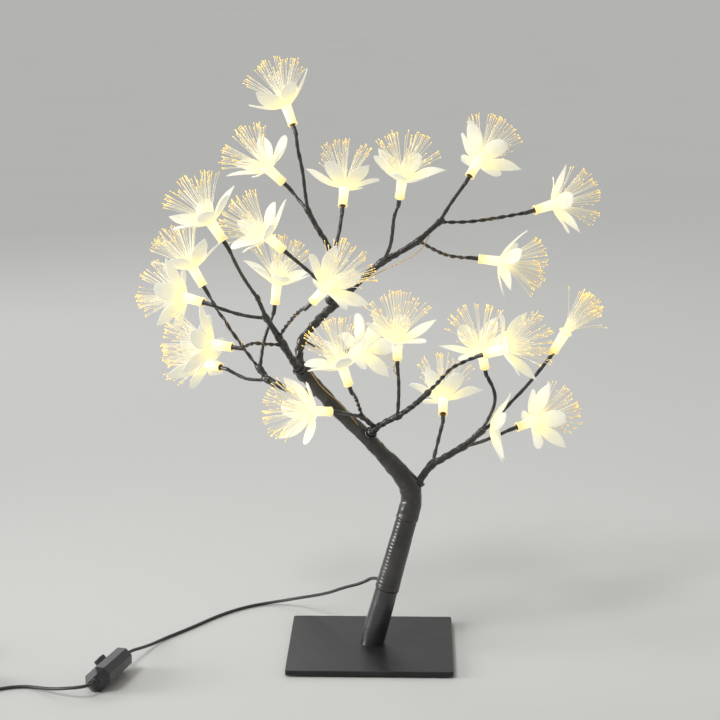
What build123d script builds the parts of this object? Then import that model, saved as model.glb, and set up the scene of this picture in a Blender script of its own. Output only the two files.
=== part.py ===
"""Fibre optic tree lamp: base, leaning trunk, six boughs of lit flowers, cord with switch and plug.

Millimetres and degrees. X points right, Y points away from the viewer, Z points up, and the lamp
stands on Z = 0 with the middle of its plate at the origin.
"""

from build123d import *
import math
import os

FOOTED = (Align.CENTER, Align.CENTER, Align.MIN)
HANGING = (Align.CENTER, Align.CENTER, Align.MAX)

# Clearances
FIT = 0.1  # between a piece and the bore that it sits in
PLAY = 0.3  # between a ball and its socket
CUT = 60.0  # reach of the boxes that only cut

# Base plate, its foam pad and its screw
PLATE_SIDE = 120.0
PLATE_THICK = 3.5
PLATE_CORNER = 2.0
PLATE_EDGE = 0.5
PAD_THICK = 1.5
PAD_INSET = 8.0
PAD_CORNER = 4.0
SCREW_RADIUS = 2.5
SCREW_HEAD_RADIUS = 4.6
SCREW_HEAD_HEIGHT = 2.3
SCREW_HEX_RADIUS = 1.7
SCREW_HEX_DEPTH = 1.4
SCREW_REACH = 8.0  # into the trunk's foot

# Trunk: a straight leaning tube up to the elbow, then a taped wire bundle up to the fork
LEAN = 15.0
ELBOW_X = 31.0
ELBOW_HEIGHT = 114.0  # over the plate
TUBE_RADIUS = 9.0  # at its foot
TUBE_TOP_RADIUS = 6.75
TUBE_TOP_WALL = 0.75
TUBE_START = 3.6
TUBE_TOP_GAP = 3.0  # between the tube's top and the elbow
FOOT_STEP = 0.8  # the foot's neck is this much thinner than the tube
FOOT_TENON = 20.0
ARMATURE_RADIUS = 2.5
ARMATURE_SEAT = 8.0
HARNESS_THICK = 1.2
HARNESS_START = 45.0
TAPE_THICK = 0.45
TAPE_START = 43.0
ELBOW_RADIUS = 7.2
ELBOW_LUMP = 7.8
UPPER_TRUNK = [  # point and tape radius
    ((19, 0, 137), 6.3),
    ((5, 0, 152), 5.2),
    ((-8, 0, 166), 5.0),
    ((-23, 1, 179), 4.8),
    ((-37, 2, 195), 4.8),
    ((-48, 3, 207), 4.8),
]
FORK_LUMP = 6.5
TAPE_BULGE = 0.3  # of the tape at each bend of the trunk

# The ball at each bough's root, and its cup
BALL_RADIUS = 3.2
CROWN_BALL_RADIUS = 2.8
CUP_WALL = 1.2
CROWN_CUP_WALL = 1.1
KNOT = 0.35  # a fork of a bough is this much thicker than its limb

# One flower: twig end, clear sleeve with a flange, LED, fibre tuft and petal whorl
TWIG_RADIUS = 1.4
TWIG_SEAT = 3.0
LED_RADIUS = 2.5
LED_RIM = 0.25
LED_RIM_HEIGHT = 1.0
LED_SEAT = 5.0
LED_BODY = 5.4
LEAD_RADIUS = 0.25
LEAD_PITCH = 2.54
SLEEVE_LENGTH = 18.0
SLEEVE_FOOT_WALL = 0.35
SLEEVE_MOUTH_WALL = 0.95
FLANGE_WIDTH = 1.1
FLANGE_THICK = 1.0
FERRULE_GAP = 0.5  # over the LED's dome
FERRULE_PROUD = 0.5
FIBRE_RADIUS = 0.35
FIBRE_RINGS = 3
FIBRE_REACH = 32.0  # of the tips from the sleeve's mouth
FIBRE_SPREAD = 50.0
PETAL_THICK = 0.5
PETAL_OPENING = 62.0  # between petals and sleeve axis
PETAL_GAP = 1.7  # between the whorl's hub and the flange
HUB_PLAY = 0.4
HUB_WIDTH = 3.4
LONG_PETAL = 28.0
LONG_PETAL_WIDTH = 13.2
SHORT_PETAL = 24.5
SHORT_PETAL_WIDTH = 12.8

# Cord, in one thickness all the way, and its grommet
CORD_RADIUS = 1.2
CORD_LENGTH = 1500.0
CORD_PLAY = 0.05
GROMMET_AT = 47.0
GROMMET_SWING = 134.0
GROMMET_WALL = 0.6
GROMMET_RIM = 3.0
GROMMET_RIM_THICK = 1.2

# Inline switch
SWITCH_CENTRE = (-183.5, -72.0)
SWITCH_HEADING = (-0.25, -0.97, 0)
SWITCH_LENGTH = 50.0
SWITCH_WIDTH = 20.0
SWITCH_THICK = 15.0
SWITCH_CHAMFER = 4.5
SWITCH_WALL = 1.6
BUTTON_RADIUS = 4.5
BUTTON_PROUD = 3.5
BUTTON_EDGE = 1.0
BUTTON_PLAY = 0.15
BUTTON_DROP = 0.3  # of its rim under the shell
BUTTON_TRAVEL = 1.5
BUTTON_RIM = 0.45
BUTTON_RIM_THICK = 1.4
BUTTON_ROOF = 1.7
SPRING_RADIUS = 2.4
SPRING_WALL = 0.7
BOARD_LENGTH = 24.0
BOARD_WIDTH = 11.0
BOARD_THICK = 1.2
BOARD_HEIGHT = 2.3  # over the bottom shell's floor
CONTACT_SIDE = 9.0
CONTACT_HEIGHT = 3.6
RIB_THICK = 1.5
BOSS_RADIUS = 2.2
BOSS_X = 14.5
BOSS_Y = 3.6
SHELL_SCREW_RADIUS = 1.0
SHELL_SCREW_HEAD = 1.9
SHELL_SCREW_HEAD_HEIGHT = 1.2
SHELL_SCREW_BITE = 4.0
RELIEF_NECK = 0.65
RELIEF_FLARE = 1.6
RELIEF_COLLAR_THICK = 1.0
RELIEF_IN_LENGTH = 7.0
RELIEF_OUT_LENGTH = 2.0

# Coil of the put-away cord, its tie, and the plug
COIL_CENTRE = (-286.0, -84.0)
COIL_RADIUS = 13.5
COIL_COLUMNS = 3
COIL_LAYERS = 4
TIE_THICK = 0.5
TIE_WIDTH = 3.0
TIE_ANGLE = 60.0
PLUG_X = -302.0
PLUG_REAR = -47.5
PLUG_RELIEF = 10.0
PLUG_RELIEF_FLARE = 2.0
PLUG_LENGTH = 28.0
PLUG_WIDTH = 15.5
PLUG_THICK = 8.0
PLUG_EDGE = 1.5
PLUG_SHELL_WIDTH = 12.0
PLUG_SHELL_THICK = 4.5
PLUG_SHELL_WALL = 0.3
PLUG_SHELL_REACH = 12.0
PLUG_SHELL_SEAT = 7.0
PLUG_BLOCK = 4.0
TONGUE_THICK = 1.9
CONTACT_PAD_LENGTH = 8.0
CONTACT_PAD_WIDTH = 1.0
CONTACT_PAD_THICK = 0.15
CONTACT_PITCH = 2.4

# Places that follow from the sizes
plate_top = PAD_THICK + PLATE_THICK
lean_axis = Vector(math.sin(math.radians(LEAN)), 0, math.cos(math.radians(LEAN)))
elbow = Vector(ELBOW_X, 0, plate_top + ELBOW_HEIGHT)
elbow_at = ELBOW_HEIGHT / lean_axis.Z
trunk_base = elbow - lean_axis * elbow_at
tube_top = elbow_at - TUBE_TOP_GAP
DRAWN_ELBOW = Vector(31, 0, 119)  # where the elbow stands in the point lists

tube_bore = TUBE_TOP_RADIUS - TUBE_TOP_WALL
foot_neck = TUBE_RADIUS - FOOT_STEP
foot_top = TUBE_START + FOOT_TENON
harness_bore = ARMATURE_RADIUS + FIT
harness_radius = harness_bore + HARNESS_THICK
channel_radius = harness_radius + 1.5 * FIT

led_rim = LED_RADIUS + LED_RIM
led_top = LED_SEAT + LED_BODY + LED_RADIUS
sleeve_bore = led_rim + FIT
sleeve_foot = sleeve_bore + SLEEVE_FOOT_WALL
sleeve_mouth = sleeve_bore + SLEEVE_MOUTH_WALL
flange_radius = sleeve_mouth + FLANGE_WIDTH
ferrule_radius = sleeve_bore - FIT
hub_bore = sleeve_mouth + HUB_PLAY
hub_height = SLEEVE_LENGTH - FLANGE_THICK - PETAL_GAP

cord_bore = CORD_RADIUS + CORD_PLAY


def on_tree(point):
    """A listed point of the tree, moved along with the elbow."""
    return Vector(*point) + elbow - DRAWN_ELBOW


def up_trunk(distance):
    """A point on the leaning tube's axis."""
    return trunk_base + lean_axis * distance


def tape_bore(distance):
    """The tape's inner radius on the tapered tube."""
    share = (distance - TUBE_START) / (tube_top - TUBE_START)
    return TUBE_RADIUS + (TUBE_TOP_RADIUS - TUBE_RADIUS) * share + FIT


def corner_radii(points):
    """The radius at each corner of a route, as large as its two runs allow."""
    radii = []
    for before, corner, after in zip(points, points[1:], points[2:]):
        run_in = corner - before
        run_out = after - corner
        half_turn = math.radians(run_in.get_angle(run_out) / 2)
        radii.append(0.45 * min(run_in.length, run_out.length) / math.tan(half_turn))
    return radii


def rounded_path(points):
    if len(points) == 2:
        return Line(*points)
    return FilletPolyline(*points, radius=corner_radii(points))


def rod(points, radius, bore=0.0):
    """A round rod or tube along a route."""
    points = [Vector(*p) for p in points]
    section = Circle(radius)
    if bore:
        section -= Circle(bore)
    start = Plane(origin=points[0], z_dir=points[1] - points[0])
    return sweep(start * section, path=rounded_path(points))


def taper(start, end, start_radius, end_radius):
    """A frustum between two points."""
    place = Plane(origin=start, z_dir=end - start).location
    length = (end - start).length
    if abs(start_radius - end_radius) < 0.001:
        return place * Cylinder(start_radius, length, align=FOOTED)
    return place * Cone(start_radius, end_radius, length, align=FOOTED)


def ball(centre, radius):
    return Pos(*centre) * Sphere(radius)


def turned(points):
    """A ring-like solid from its half section, as (radius, height) points."""
    face = make_face(Polyline(*points, close=True))
    return revolve(Plane.XZ * face, Axis.Z)


def save(name, *shapes):
    """Writes one node of one or more solids."""
    solids = [solid for shape in shapes for solid in shape.solids()]
    whole = solids[0] if len(solids) == 1 else Compound(solids)
    export_step(whole, f"parts/{name}.step")
    volume = sum(solid.volume for solid in solids)
    print(f"{name}: {len(solids)} solids, {volume:.1f} mm3")


# ---------------------------------------------------------------- base


def make_base_plate():
    plate = Box(PLATE_SIDE, PLATE_SIDE, PLATE_THICK, align=FOOTED)
    plate = fillet(plate.edges().filter_by(Axis.Z), PLATE_CORNER)
    plate = chamfer(plate.faces().sort_by(Axis.Z)[-1].edges(), PLATE_EDGE)
    place = Pos(trunk_base.X, 0, 0)
    plate -= place * Cylinder(SCREW_RADIUS + 2 * FIT, PLATE_THICK, align=FOOTED)
    sink = Cone(SCREW_HEAD_RADIUS + FIT, SCREW_RADIUS + FIT, SCREW_HEAD_HEIGHT, align=FOOTED)
    plate -= place * sink
    return Pos(0, 0, PAD_THICK) * plate


def make_base_pad():
    """The foam sheet stuck under the plate, over the screw's head."""
    side = PLATE_SIDE - 2 * PAD_INSET
    return extrude(RectangleRounded(side, side, PAD_CORNER), PAD_THICK)


def make_foot_screw():
    screw = Cone(SCREW_HEAD_RADIUS, SCREW_RADIUS, SCREW_HEAD_HEIGHT, align=FOOTED)
    screw += Cylinder(SCREW_RADIUS, PLATE_THICK + SCREW_REACH, align=FOOTED)
    screw -= extrude(RegularPolygon(SCREW_HEX_RADIUS, 6), SCREW_HEX_DEPTH)
    return Pos(trunk_base.X, 0, PAD_THICK) * screw


# ---------------------------------------------------------------- trunk


def make_trunk_foot():
    leaning = Plane(origin=trunk_base, z_dir=lean_axis).location
    foot = leaning * Pos(0, 0, -2 * TUBE_START) * Cylinder(foot_neck, 3 * TUBE_START, align=FOOTED)
    foot += leaning * Cylinder(tube_bore - FIT, foot_top, align=FOOTED)
    foot -= Pos(0, 0, plate_top) * Box(CUT, CUT, CUT, align=HANGING)
    bore_at = foot_top - ARMATURE_SEAT
    foot -= leaning * Pos(0, 0, bore_at) * Cylinder(harness_bore, ARMATURE_SEAT, align=FOOTED)
    thread = Cylinder(SCREW_RADIUS + CORD_PLAY, SCREW_REACH + FIT, align=FOOTED)
    foot -= Pos(trunk_base.X, 0, plate_top) * thread
    return foot


def grommet_direction():
    swing = math.radians(GROMMET_SWING)
    sideways = Vector(lean_axis.Z, 0, -lean_axis.X)
    return sideways * math.cos(swing) + Vector(0, 1, 0) * math.sin(swing)


def grommet_place():
    return Plane(origin=up_trunk(GROMMET_AT), z_dir=grommet_direction()).location


def grommet_hole():
    radius = cord_bore + GROMMET_WALL + FIT
    return grommet_place() * Cylinder(radius, 2 * TUBE_RADIUS, align=FOOTED)


def make_trunk_tube():
    """The leaning tube, tapered outside and with a straight bore."""
    start = up_trunk(TUBE_START)
    end = up_trunk(tube_top)
    tube = taper(start, end, TUBE_RADIUS, TUBE_TOP_RADIUS) - taper(start, end, tube_bore, tube_bore)
    return tube - grommet_hole()


def trunk_route(first):
    """The trunk's middle line, from a point on the leaning part up to the fork."""
    return [up_trunk(first), elbow] + [on_tree(point) for point, _ in UPPER_TRUNK]


def make_armature():
    return rod(trunk_route(foot_top - ARMATURE_SEAT + FIT), ARMATURE_RADIUS)


def make_harness():
    return rod(trunk_route(HARNESS_START), harness_radius, harness_bore)


def make_cup(centre, toward, ball_radius, wall):
    """The half round cup behind a ball, before its socket is cut."""
    cup = Sphere(ball_radius + PLAY + wall)
    cup -= Box(CUT, CUT, CUT, align=FOOTED)
    return Plane(origin=centre, z_dir=toward).location * cup


def make_trunk_wrap(roots):
    tape_foot = tape_bore(TAPE_START) + TAPE_THICK
    wrap = taper(up_trunk(TAPE_START), elbow, tape_foot, ELBOW_RADIUS)
    wrap += ball(elbow, ELBOW_LUMP)
    start, radius = elbow, ELBOW_RADIUS
    for point, next_radius in UPPER_TRUNK:
        end = on_tree(point)
        wrap += taper(start, end, radius, next_radius)
        wrap += ball(end, next_radius + TAPE_BULGE)
        start, radius = end, next_radius
    wrap += ball(start, FORK_LUMP)
    for centre, toward in roots:
        wrap += make_cup(centre, toward, BALL_RADIUS, CUP_WALL)
    for centre, _ in roots:
        wrap -= ball(centre, BALL_RADIUS + PLAY)
    below = TAPE_START - 1
    above = tube_top + FIT
    wrap -= taper(up_trunk(below), up_trunk(above), tape_bore(below), tape_bore(above))
    wrap -= rod(trunk_route(HARNESS_START), channel_radius)
    return wrap - grommet_hole()


def make_grommet():
    neck = cord_bore + GROMMET_WALL
    seat = tape_bore(GROMMET_AT) + TAPE_THICK + FIT
    top = seat + GROMMET_RIM_THICK
    ring = turned([
        (cord_bore, tube_bore - 2 * FIT),
        (neck, tube_bore - 2 * FIT),
        (neck, seat),
        (GROMMET_RIM, seat),
        (neck + FIT, top),
        (cord_bore, top),
    ])
    return grommet_place() * ring


# ---------------------------------------------------------------- one flower


def make_sleeve():
    """A clear sleeve, standing on its foot."""
    seat = TWIG_RADIUS + FIT
    under_flange = SLEEVE_LENGTH - FLANGE_THICK
    return turned([
        (seat, 0),
        (sleeve_foot, 0),
        (sleeve_mouth, under_flange),
        (flange_radius, under_flange),
        (flange_radius, SLEEVE_LENGTH),
        (sleeve_bore, SLEEVE_LENGTH),
        (sleeve_bore, TWIG_SEAT),
        (seat, TWIG_SEAT),
    ])


def make_led():
    led = Pos(0, 0, LED_SEAT) * Cylinder(led_rim, LED_RIM_HEIGHT, align=FOOTED)
    led += Pos(0, 0, LED_SEAT) * Cylinder(LED_RADIUS, LED_BODY, align=FOOTED)
    led += Pos(0, 0, LED_SEAT + LED_BODY) * Sphere(LED_RADIUS)
    lead = Cylinder(LEAD_RADIUS, LED_SEAT - TWIG_SEAT, align=FOOTED)
    for side in (-1, 1):
        led += Pos(side * LEAD_PITCH / 2, 0, TWIG_SEAT + FIT) * lead
    return led


def make_tuft():
    """The ferrule in the sleeve's mouth and its fibres."""
    foot = led_top + FERRULE_GAP
    top = SLEEVE_LENGTH + FERRULE_PROUD
    tuft = Pos(0, 0, foot) * Cylinder(ferrule_radius, top - foot, align=FOOTED)
    pitch = (ferrule_radius - FIBRE_RADIUS) / FIBRE_RINGS
    fibres = []
    for ring in range(FIBRE_RINGS + 1):
        count = max(1, 6 * ring)
        for k in range(count):
            number = len(fibres)
            spread = FIBRE_SPREAD * ring / FIBRE_RINGS * (1 + 0.06 * math.sin(5.1 * number))
            reach = FIBRE_REACH + math.sin(2.3 * number) - ring * pitch
            fibre = Cylinder(FIBRE_RADIUS, reach, align=FOOTED)
            place = Rot(0, 0, 360 * (k + 0.5 * (ring % 2)) / count) * Pos(ring * pitch, 0, top - PLAY)
            fibres.append(place * Rot(0, spread, 0) * fibre)
    return tuft.fuse(*fibres)


def long_petal():
    half = LONG_PETAL_WIDTH / 2
    root = hub_bore
    side = [
        (root, 0.3 * half),
        (root + 0.22 * (LONG_PETAL - root), 0.78 * half),
        (root + 0.48 * (LONG_PETAL - root), half),
        (root + 0.75 * (LONG_PETAL - root), 0.7 * half),
        (LONG_PETAL, 0),
    ]
    edge = Spline(*side)
    other = Spline(*[(x, -y) for x, y in side])
    return make_face(edge + other + Line(side[0], (side[0][0], -side[0][1])))


def short_petal():
    length = SHORT_PETAL - hub_bore / 2
    return Pos(SHORT_PETAL - length / 2, 0) * Ellipse(length / 2, SHORT_PETAL_WIDTH / 2)


def make_whorl():
    """Three long and three short petals in one piece, their hub around Z = 0."""
    outline = Sketch() + Circle(hub_bore + HUB_WIDTH)
    for k in range(3):
        outline += Rot(0, 0, 120 * k) * long_petal()
        outline += Rot(0, 0, 120 * k + 60) * short_petal()
    slope = 1 / math.tan(math.radians(PETAL_OPENING))
    depth = PETAL_THICK / math.sin(math.radians(PETAL_OPENING))
    rise = slope * (LONG_PETAL + 1 - hub_bore)
    shell = turned([
        (hub_bore, 0),
        (LONG_PETAL + 1, rise),
        (LONG_PETAL + 1, rise - depth),
        (hub_bore, -depth),
    ])
    blank = Pos(0, 0, -2 * depth) * extrude(outline, rise + 3 * depth)
    return blank & shell


# ---------------------------------------------------------------- boughs

# name: foot, mouth, and turn and two leans of its petal whorl, None where it has none
FLOWERS = {
    "f1": ((-55, 0, 386), (-61, 8, 401), (5, 12, 4)),
    "f2": ((-63, 12, 344), (-75, 7, 356), (30, 9, 9)),
    "f3": ((-21, 20, 326), (-20, 31, 340), (10, -3, 10)),
    "f4": ((20, -20, 338), (22, -28, 353), (115, 9, 9)),
    "f5": ((69, 10, 349), (77, 21, 361), (89, 0, -8)),
    "f6": ((116, 30, 322), (132, 37, 326), (100, -11, -5)),
    "f7": ((77, 46, 284), (95, 45, 282), (107, 6, -8)),
    "f8": ((130, 0, 225), (138, -4, 240), None),
    "f9": ((-98, -76, 316), (-108, -75, 331), (8, 12, 4)),
    "f10": ((-124, 45, 263), (-133, 47, 278), (51, -10, 8)),
    "f11": ((-117, -25, 264), (-133, -18, 267), (86, 5, -11)),
    "f12": ((-94, -62, 240), (-111, -56, 241), (85, 6, 2)),
    "f13": ((-112, 45, 202), (-126, 57, 203), (94, -6, 11)),
    "f14": ((-61, -22, 301), (-73, -26, 312), (69, 5, 5)),
    "f15": ((-71, 35, 252), (-69, 33, 269), (110, 7, 0)),
    "f16": ((-38, -84, 276), (-26, -89, 289), (53, -9, -5)),
    "f18": ((-14, -70, 216), (-19, -77, 233), (22, -9, 9)),
    "f19": ((19, -40, 228), (19, -47, 245), (20, 7, 10)),
    "f20": ((-16, 62, 212), (-7, 78, 211), (0, -7, 8)),
    "f21": ((52, 30, 171), (52, 44, 181), (62, 0, 12)),
    "f22": ((81, -5, 214), (78, -13, 230), (80, -9, 9)),
    "f23": ((79, -75, 239), (93, -84, 245), (50, 12, -4)),
    "f24": ((106, 32, 161), (122, 40, 165), (107, 11, -5)),
    "f26": ((-27, -50, 192), (-42, -60, 195), (2, 3, -2)),
}

# Each bough: root ball, limbs as (radius, points) and twigs as flower: points up to its sleeve
LEFT_BOUGH = {
    "limbs": [
        (2.8, [(-52, -4, 212), (-57, -9, 221), (-62, -15, 232)]),
        (2.5, [(-62, -15, 232), (-65, -18, 238)]),
        (2.2, [(-65, -18, 238), (-69, -23, 246), (-73, -29, 254)]),
        (1.5, [(-73, -29, 254), (-78, -40, 270)]),
    ],
    "twigs": {
        "f9": [(-78, -40, 270), (-85, -54, 284), (-91, -66, 299)],
        "f12": [(-62, -15, 232), (-71, -25, 234), (-82, -42, 239)],
        "f16": [(-65, -18, 238), (-59, -30, 249), (-52, -50, 260), (-45, -68, 269)],
        "f11": [(-73, -29, 254), (-81, -27, 254), (-93, -26, 256), (-106, -25, 260)],
    },
}
REAR_LEFT_BOUGH = {
    "limbs": [
        (2.6, [(-44, 7, 193), (-52, 13, 191), (-64, 20, 192), (-76, 27, 197)]),
        (2.3, [(-76, 27, 197), (-82, 30, 204)]),
    ],
    "twigs": {
        "f10": [(-82, 30, 204), (-92, 34, 216), (-104, 38, 232), (-115, 42, 248)],
        "f13": [(-76, 27, 197), (-90, 33, 195), (-100, 39, 198)],
        "f15": [(-82, 30, 204), (-81, 35, 219), (-76, 36, 235)],
    },
}
CENTRE_BOUGH = {
    "limbs": [
        (3.0, [(-51, 6, 214), (-53.5, 8, 222), (-50, 9, 230)]),
        (2.9, [(-50, 9, 230), (-42, 9, 243), (-26, 8, 257)]),
        (2.6, [(-26, 8, 257), (-19, 7, 263), (-5, 2, 279), (8, -3, 290)]),
        (2.3, [(8, -3, 290), (20, -2, 296), (33, 2, 304)]),
        (2.0, [(33, 2, 304), (40, 4, 310), (48, 6, 317)]),
    ],
    "twigs": {
        "f4": [(8, -3, 290), (13, -8, 299), (15, -13, 311), (16, -18, 325)],
        "f5": [(48, 6, 317), (55, 8, 329)],
        "f6": [(48, 6, 317), (59, 10, 316), (74, 16, 316), (91, 22, 318)],
        "f7": [(33, 2, 304), (42, 14, 297), (52, 26, 290), (64, 37, 286)],
        "f20": [(-50, 9, 230), (-41, 25, 222), (-30, 45, 214)],
    },
}
CROWN_BOUGH = {
    "limbs": [
        (2.2, [(-29, 5, 261), (-27, 4, 270)]),
        (2.0, [(-27, 4, 270), (-26, 4, 281), (-28, 4, 293)]),
        (1.9, [(-28, 4, 293), (-32, 4, 303), (-39, 4, 313), (-45, 4, 325)]),
    ],
    "twigs": {
        "f14": [(-27, 4, 270), (-35, -6, 275), (-46, -16, 287)],
        "f3": [(-28, 4, 293), (-24, 9, 303)],
        "f1": [(-45, 4, 325), (-47, 2, 338), (-48, 1, 352), (-52, 0, 370)],
        "f2": [(-45, 4, 325), (-51, 9, 331)],
    },
}
FRONT_BOUGH = {
    "limbs": [
        (2.6, [(0, -6, 166), (3, -10, 170)]),
        (2.2, [(3, -10, 170), (9, -15, 176), (19, -22, 182)]),
        (1.9, [(19, -22, 182), (31, -32, 192), (40, -43, 204)]),
        (1.8, [(3, -10, 170), (-1, -15, 176), (-6, -20, 181)]),
    ],
    "twigs": {
        "f23": [(40, -43, 204), (49, -53, 216), (57, -61, 227), (67, -68, 233)],
        "f26": [(-6, -20, 181), (-16, -36, 187)],
        "f18": [(-6, -20, 181), (-9, -36, 196), (-12, -54, 207)],
        "f19": [(19, -22, 182), (20, -28, 195), (20, -34, 211)],
    },
}
RIGHT_BOUGH = {
    "limbs": [
        (2.8, [(35, 2, 128), (39, 3, 135), (44, 4, 140)]),
        (2.5, [(44, 4, 140), (54, 3, 146), (66, 1, 154)]),
        (2.2, [(66, 1, 154), (73, 0, 160), (79, -1, 166)]),
    ],
    "twigs": {
        "f21": [(44, 4, 140), (47, 10, 150), (50, 20, 160)],
        "f24": [(66, 1, 154), (77, 12, 154), (86, 22, 155), (94, 27, 157)],
        "f22": [(79, -1, 166), (82, -3, 172), (86, -4, 180), (89, -5, 189), (88, -4, 198)],
        "f8": [
            (79, -1, 166), (85, -1, 170), (90, -2, 176), (99, -2, 187), (107, -1, 195),
            (114, 0, 203),
        ],
    },
}
TRUNK_BOUGHS = {
    "left": LEFT_BOUGH,
    "rear_left": REAR_LEFT_BOUGH,
    "centre": CENTRE_BOUGH,
    "front": FRONT_BOUGH,
    "right": RIGHT_BOUGH,
}
STRAIGHT_END = 7.0  # of each twig under its sleeve

# The whorl of flower f8 has slid down its twig, where the twig has this point and heading
SLIPPED_TO = (85.5, -1.1, 170.6)
SLIPPED_HEADING = (5, -1, 6)
SLIPPED_AXIS = (1, 0, -0.04)
SLIPPED_TURN = 92.0


def root_of(bough):
    """The root ball's centre and the way that its limb leaves it."""
    points = bough["limbs"][0][1]
    return on_tree(points[0]), Vector(*points[1]) - Vector(*points[0])


def flower_place(name):
    """A flower's own frame: its foot, with Z along its sleeve and X level."""
    foot, mouth, _ = FLOWERS[name]
    aim = Vector(*mouth) - Vector(*foot)
    return Plane(origin=on_tree(foot), x_dir=Vector(0, 0, 1).cross(aim), z_dir=aim).location


def whorl_place(name):
    turn, lean_x, lean_y = FLOWERS[name][2]
    return flower_place(name) * Pos(0, 0, hub_height) * Rot(-lean_y, lean_x, 0) * Rot(0, 0, turn)


def make_stems(bough, ball_radius):
    """A bough's limbs, forks and twigs in one solid, with the ball at its root."""
    centre, _ = root_of(bough)
    pieces = [ball(centre, ball_radius)]
    for radius, points in bough["limbs"]:
        pieces.append(rod([on_tree(p) for p in points], radius))
        pieces.append(ball(on_tree(points[-1]), radius + KNOT))
    for name, points in bough["twigs"].items():
        foot = flower_place(name).position
        aim = flower_place(name).z_axis.direction
        end = [foot - aim * STRAIGHT_END, foot + aim * TWIG_SEAT]
        pieces.append(rod([on_tree(p) for p in points] + end, TWIG_RADIUS))
    return pieces[0].fuse(*pieces[1:])


def slipped_place():
    """The slipped whorl hangs by its hole's edge on the slanting twig."""
    slant = Vector(*SLIPPED_HEADING).get_angle(Vector(*SLIPPED_AXIS))
    drop = hub_bore - (TWIG_RADIUS + FIT) / math.cos(math.radians(slant))
    centre = on_tree(SLIPPED_TO) - Vector(0, 0, drop)
    frame = Plane(origin=centre, x_dir=(0, 1, 0), z_dir=SLIPPED_AXIS)
    return frame.location * Rot(0, 0, SLIPPED_TURN)


def save_bough(name, bough, stems, shared):
    sleeve, led, tuft, whorl = shared
    flowers = list(bough["twigs"])
    with_petals = [f for f in flowers if FLOWERS[f][2]]
    save(f"{name}_stems", stems)
    save(f"{name}_sleeves", *[flower_place(f) * sleeve for f in flowers])
    save(f"{name}_leds", *[flower_place(f) * led for f in flowers])
    save(f"{name}_fibres", *[flower_place(f) * tuft for f in flowers])
    save(f"{name}_petals", *[whorl_place(f) * whorl for f in with_petals])


# ---------------------------------------------------------------- cord


def switch_frame():
    heading = Vector(*SWITCH_HEADING).normalized()
    left = Vector(0, 0, 1).cross(heading) * -1
    height = (SWITCH_WIDTH / 2 + SWITCH_THICK / 2 - SWITCH_CHAMFER) / math.sqrt(2)
    centre = Vector(SWITCH_CENTRE[0], SWITCH_CENTRE[1], height)
    return Plane(origin=centre, x_dir=heading, z_dir=left + Vector(0, 0, 1))


def cord_in_route():
    """From inside the trunk to inside the switch."""
    start = up_trunk(GROMMET_AT)
    out = grommet_direction()
    frame = switch_frame()
    inside = SWITCH_LENGTH / 2
    return [
        start + out * (harness_radius + 2 * FIT),
        start + out * 15,
        Vector(-7, 20, 44.2),
        Vector(-20, 31, 37.5),
        Vector(-32, 48, 27.5),
        Vector(-44, 69, 18),
        Vector(-57, 86, 10.3),
        Vector(-69, 96, 4.8),
        Vector(-82, 99, 1.6),
        Vector(-96, 92, 1.25),
        Vector(-109, 80, 1.25),
        Vector(-121, 65, 1.25),
        Vector(-133, 46, 1.25),
        Vector(-144, 30, 1.25),
        Vector(-154, 16, 1.3),
        Vector(-161, 0, 2.6),
        Vector(-167, -18, 6),
        frame.from_local_coords(Vector(-inside - 14, 0, 0)),
        frame.from_local_coords(Vector(-inside + 3, 0, 0)),
    ]


def cord_out_route():
    """From inside the switch to the coil."""
    frame = switch_frame()
    inside = SWITCH_LENGTH / 2
    return [
        frame.from_local_coords(Vector(inside - 3, 0, 0)),
        frame.from_local_coords(Vector(inside + 6.5, 0, 0)),
        Vector(-199.5, -108, 9.3),
        Vector(-209, -106.5, 8),
        Vector(-219, -100, 5),
        Vector(-229, -91.5, 2.4),
        Vector(-240, -85.5, 1.25),
        Vector(-251, -87.5, 1.25),
        Vector(-262, -94, 1.4),
        Vector(-272, -98.5, 1.85),
        Vector(-279, -99.6, 1.85),
    ]


def cord_plug_route():
    """From the coil's last turn into the plug's relief."""
    return [
        Vector(-302.2, -79, 9),
        Vector(-302.4, -66, 7.5),
        Vector(PLUG_X, -54, PLUG_THICK / 2),
        Vector(PLUG_X, -40.5, PLUG_THICK / 2),
    ]


def coil_section():
    diameter = 2 * CORD_RADIUS
    return COIL_COLUMNS * diameter, COIL_LAYERS * diameter


def coil_foot():
    return TIE_THICK + 1.5 * FIT


def make_coil():
    width, height = coil_section()
    section = Pos(COIL_RADIUS, coil_foot() + height / 2) * RectangleRounded(
        width, height, CORD_RADIUS - FIT
    )
    return Pos(*COIL_CENTRE, 0) * revolve(Plane.XZ * section, Axis.Z)


def make_tie():
    width, height = coil_section()
    outer = Box(width + 2 * (FIT + TIE_THICK), TIE_WIDTH, height + 2 * (FIT + TIE_THICK))
    inner = Box(width + 2 * FIT, TIE_WIDTH, height + 2 * FIT)
    place = Pos(*COIL_CENTRE, coil_foot() + height / 2) * Rot(0, 0, TIE_ANGLE)
    band = place * Pos(COIL_RADIUS, 0, 0) * (outer - inner)
    return band - make_coil()


def print_cord():
    """Prints the cord's radii, volumes and lengths."""
    laid = 0.0
    for name, route in (
        ("cord_to_switch", cord_in_route()),
        ("cord_to_coil", cord_out_route()),
        ("cord_to_plug", cord_plug_route()),
    ):
        length = rounded_path(route).length
        section = math.pi * CORD_RADIUS**2
        laid += length
        radii = ", ".join(f"{r:.1f}" for r in corner_radii(route))
        print(f"{name}: length {length:.1f}, section x length {section * length:.1f} mm3")
        print(f"  radii {radii}")
    turns = (CORD_LENGTH - laid) / (2 * math.pi * COIL_RADIUS)
    print(f"coil: {CORD_LENGTH - laid:.1f} mm of cord in {turns:.2f} turns")


# ---------------------------------------------------------------- switch


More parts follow.
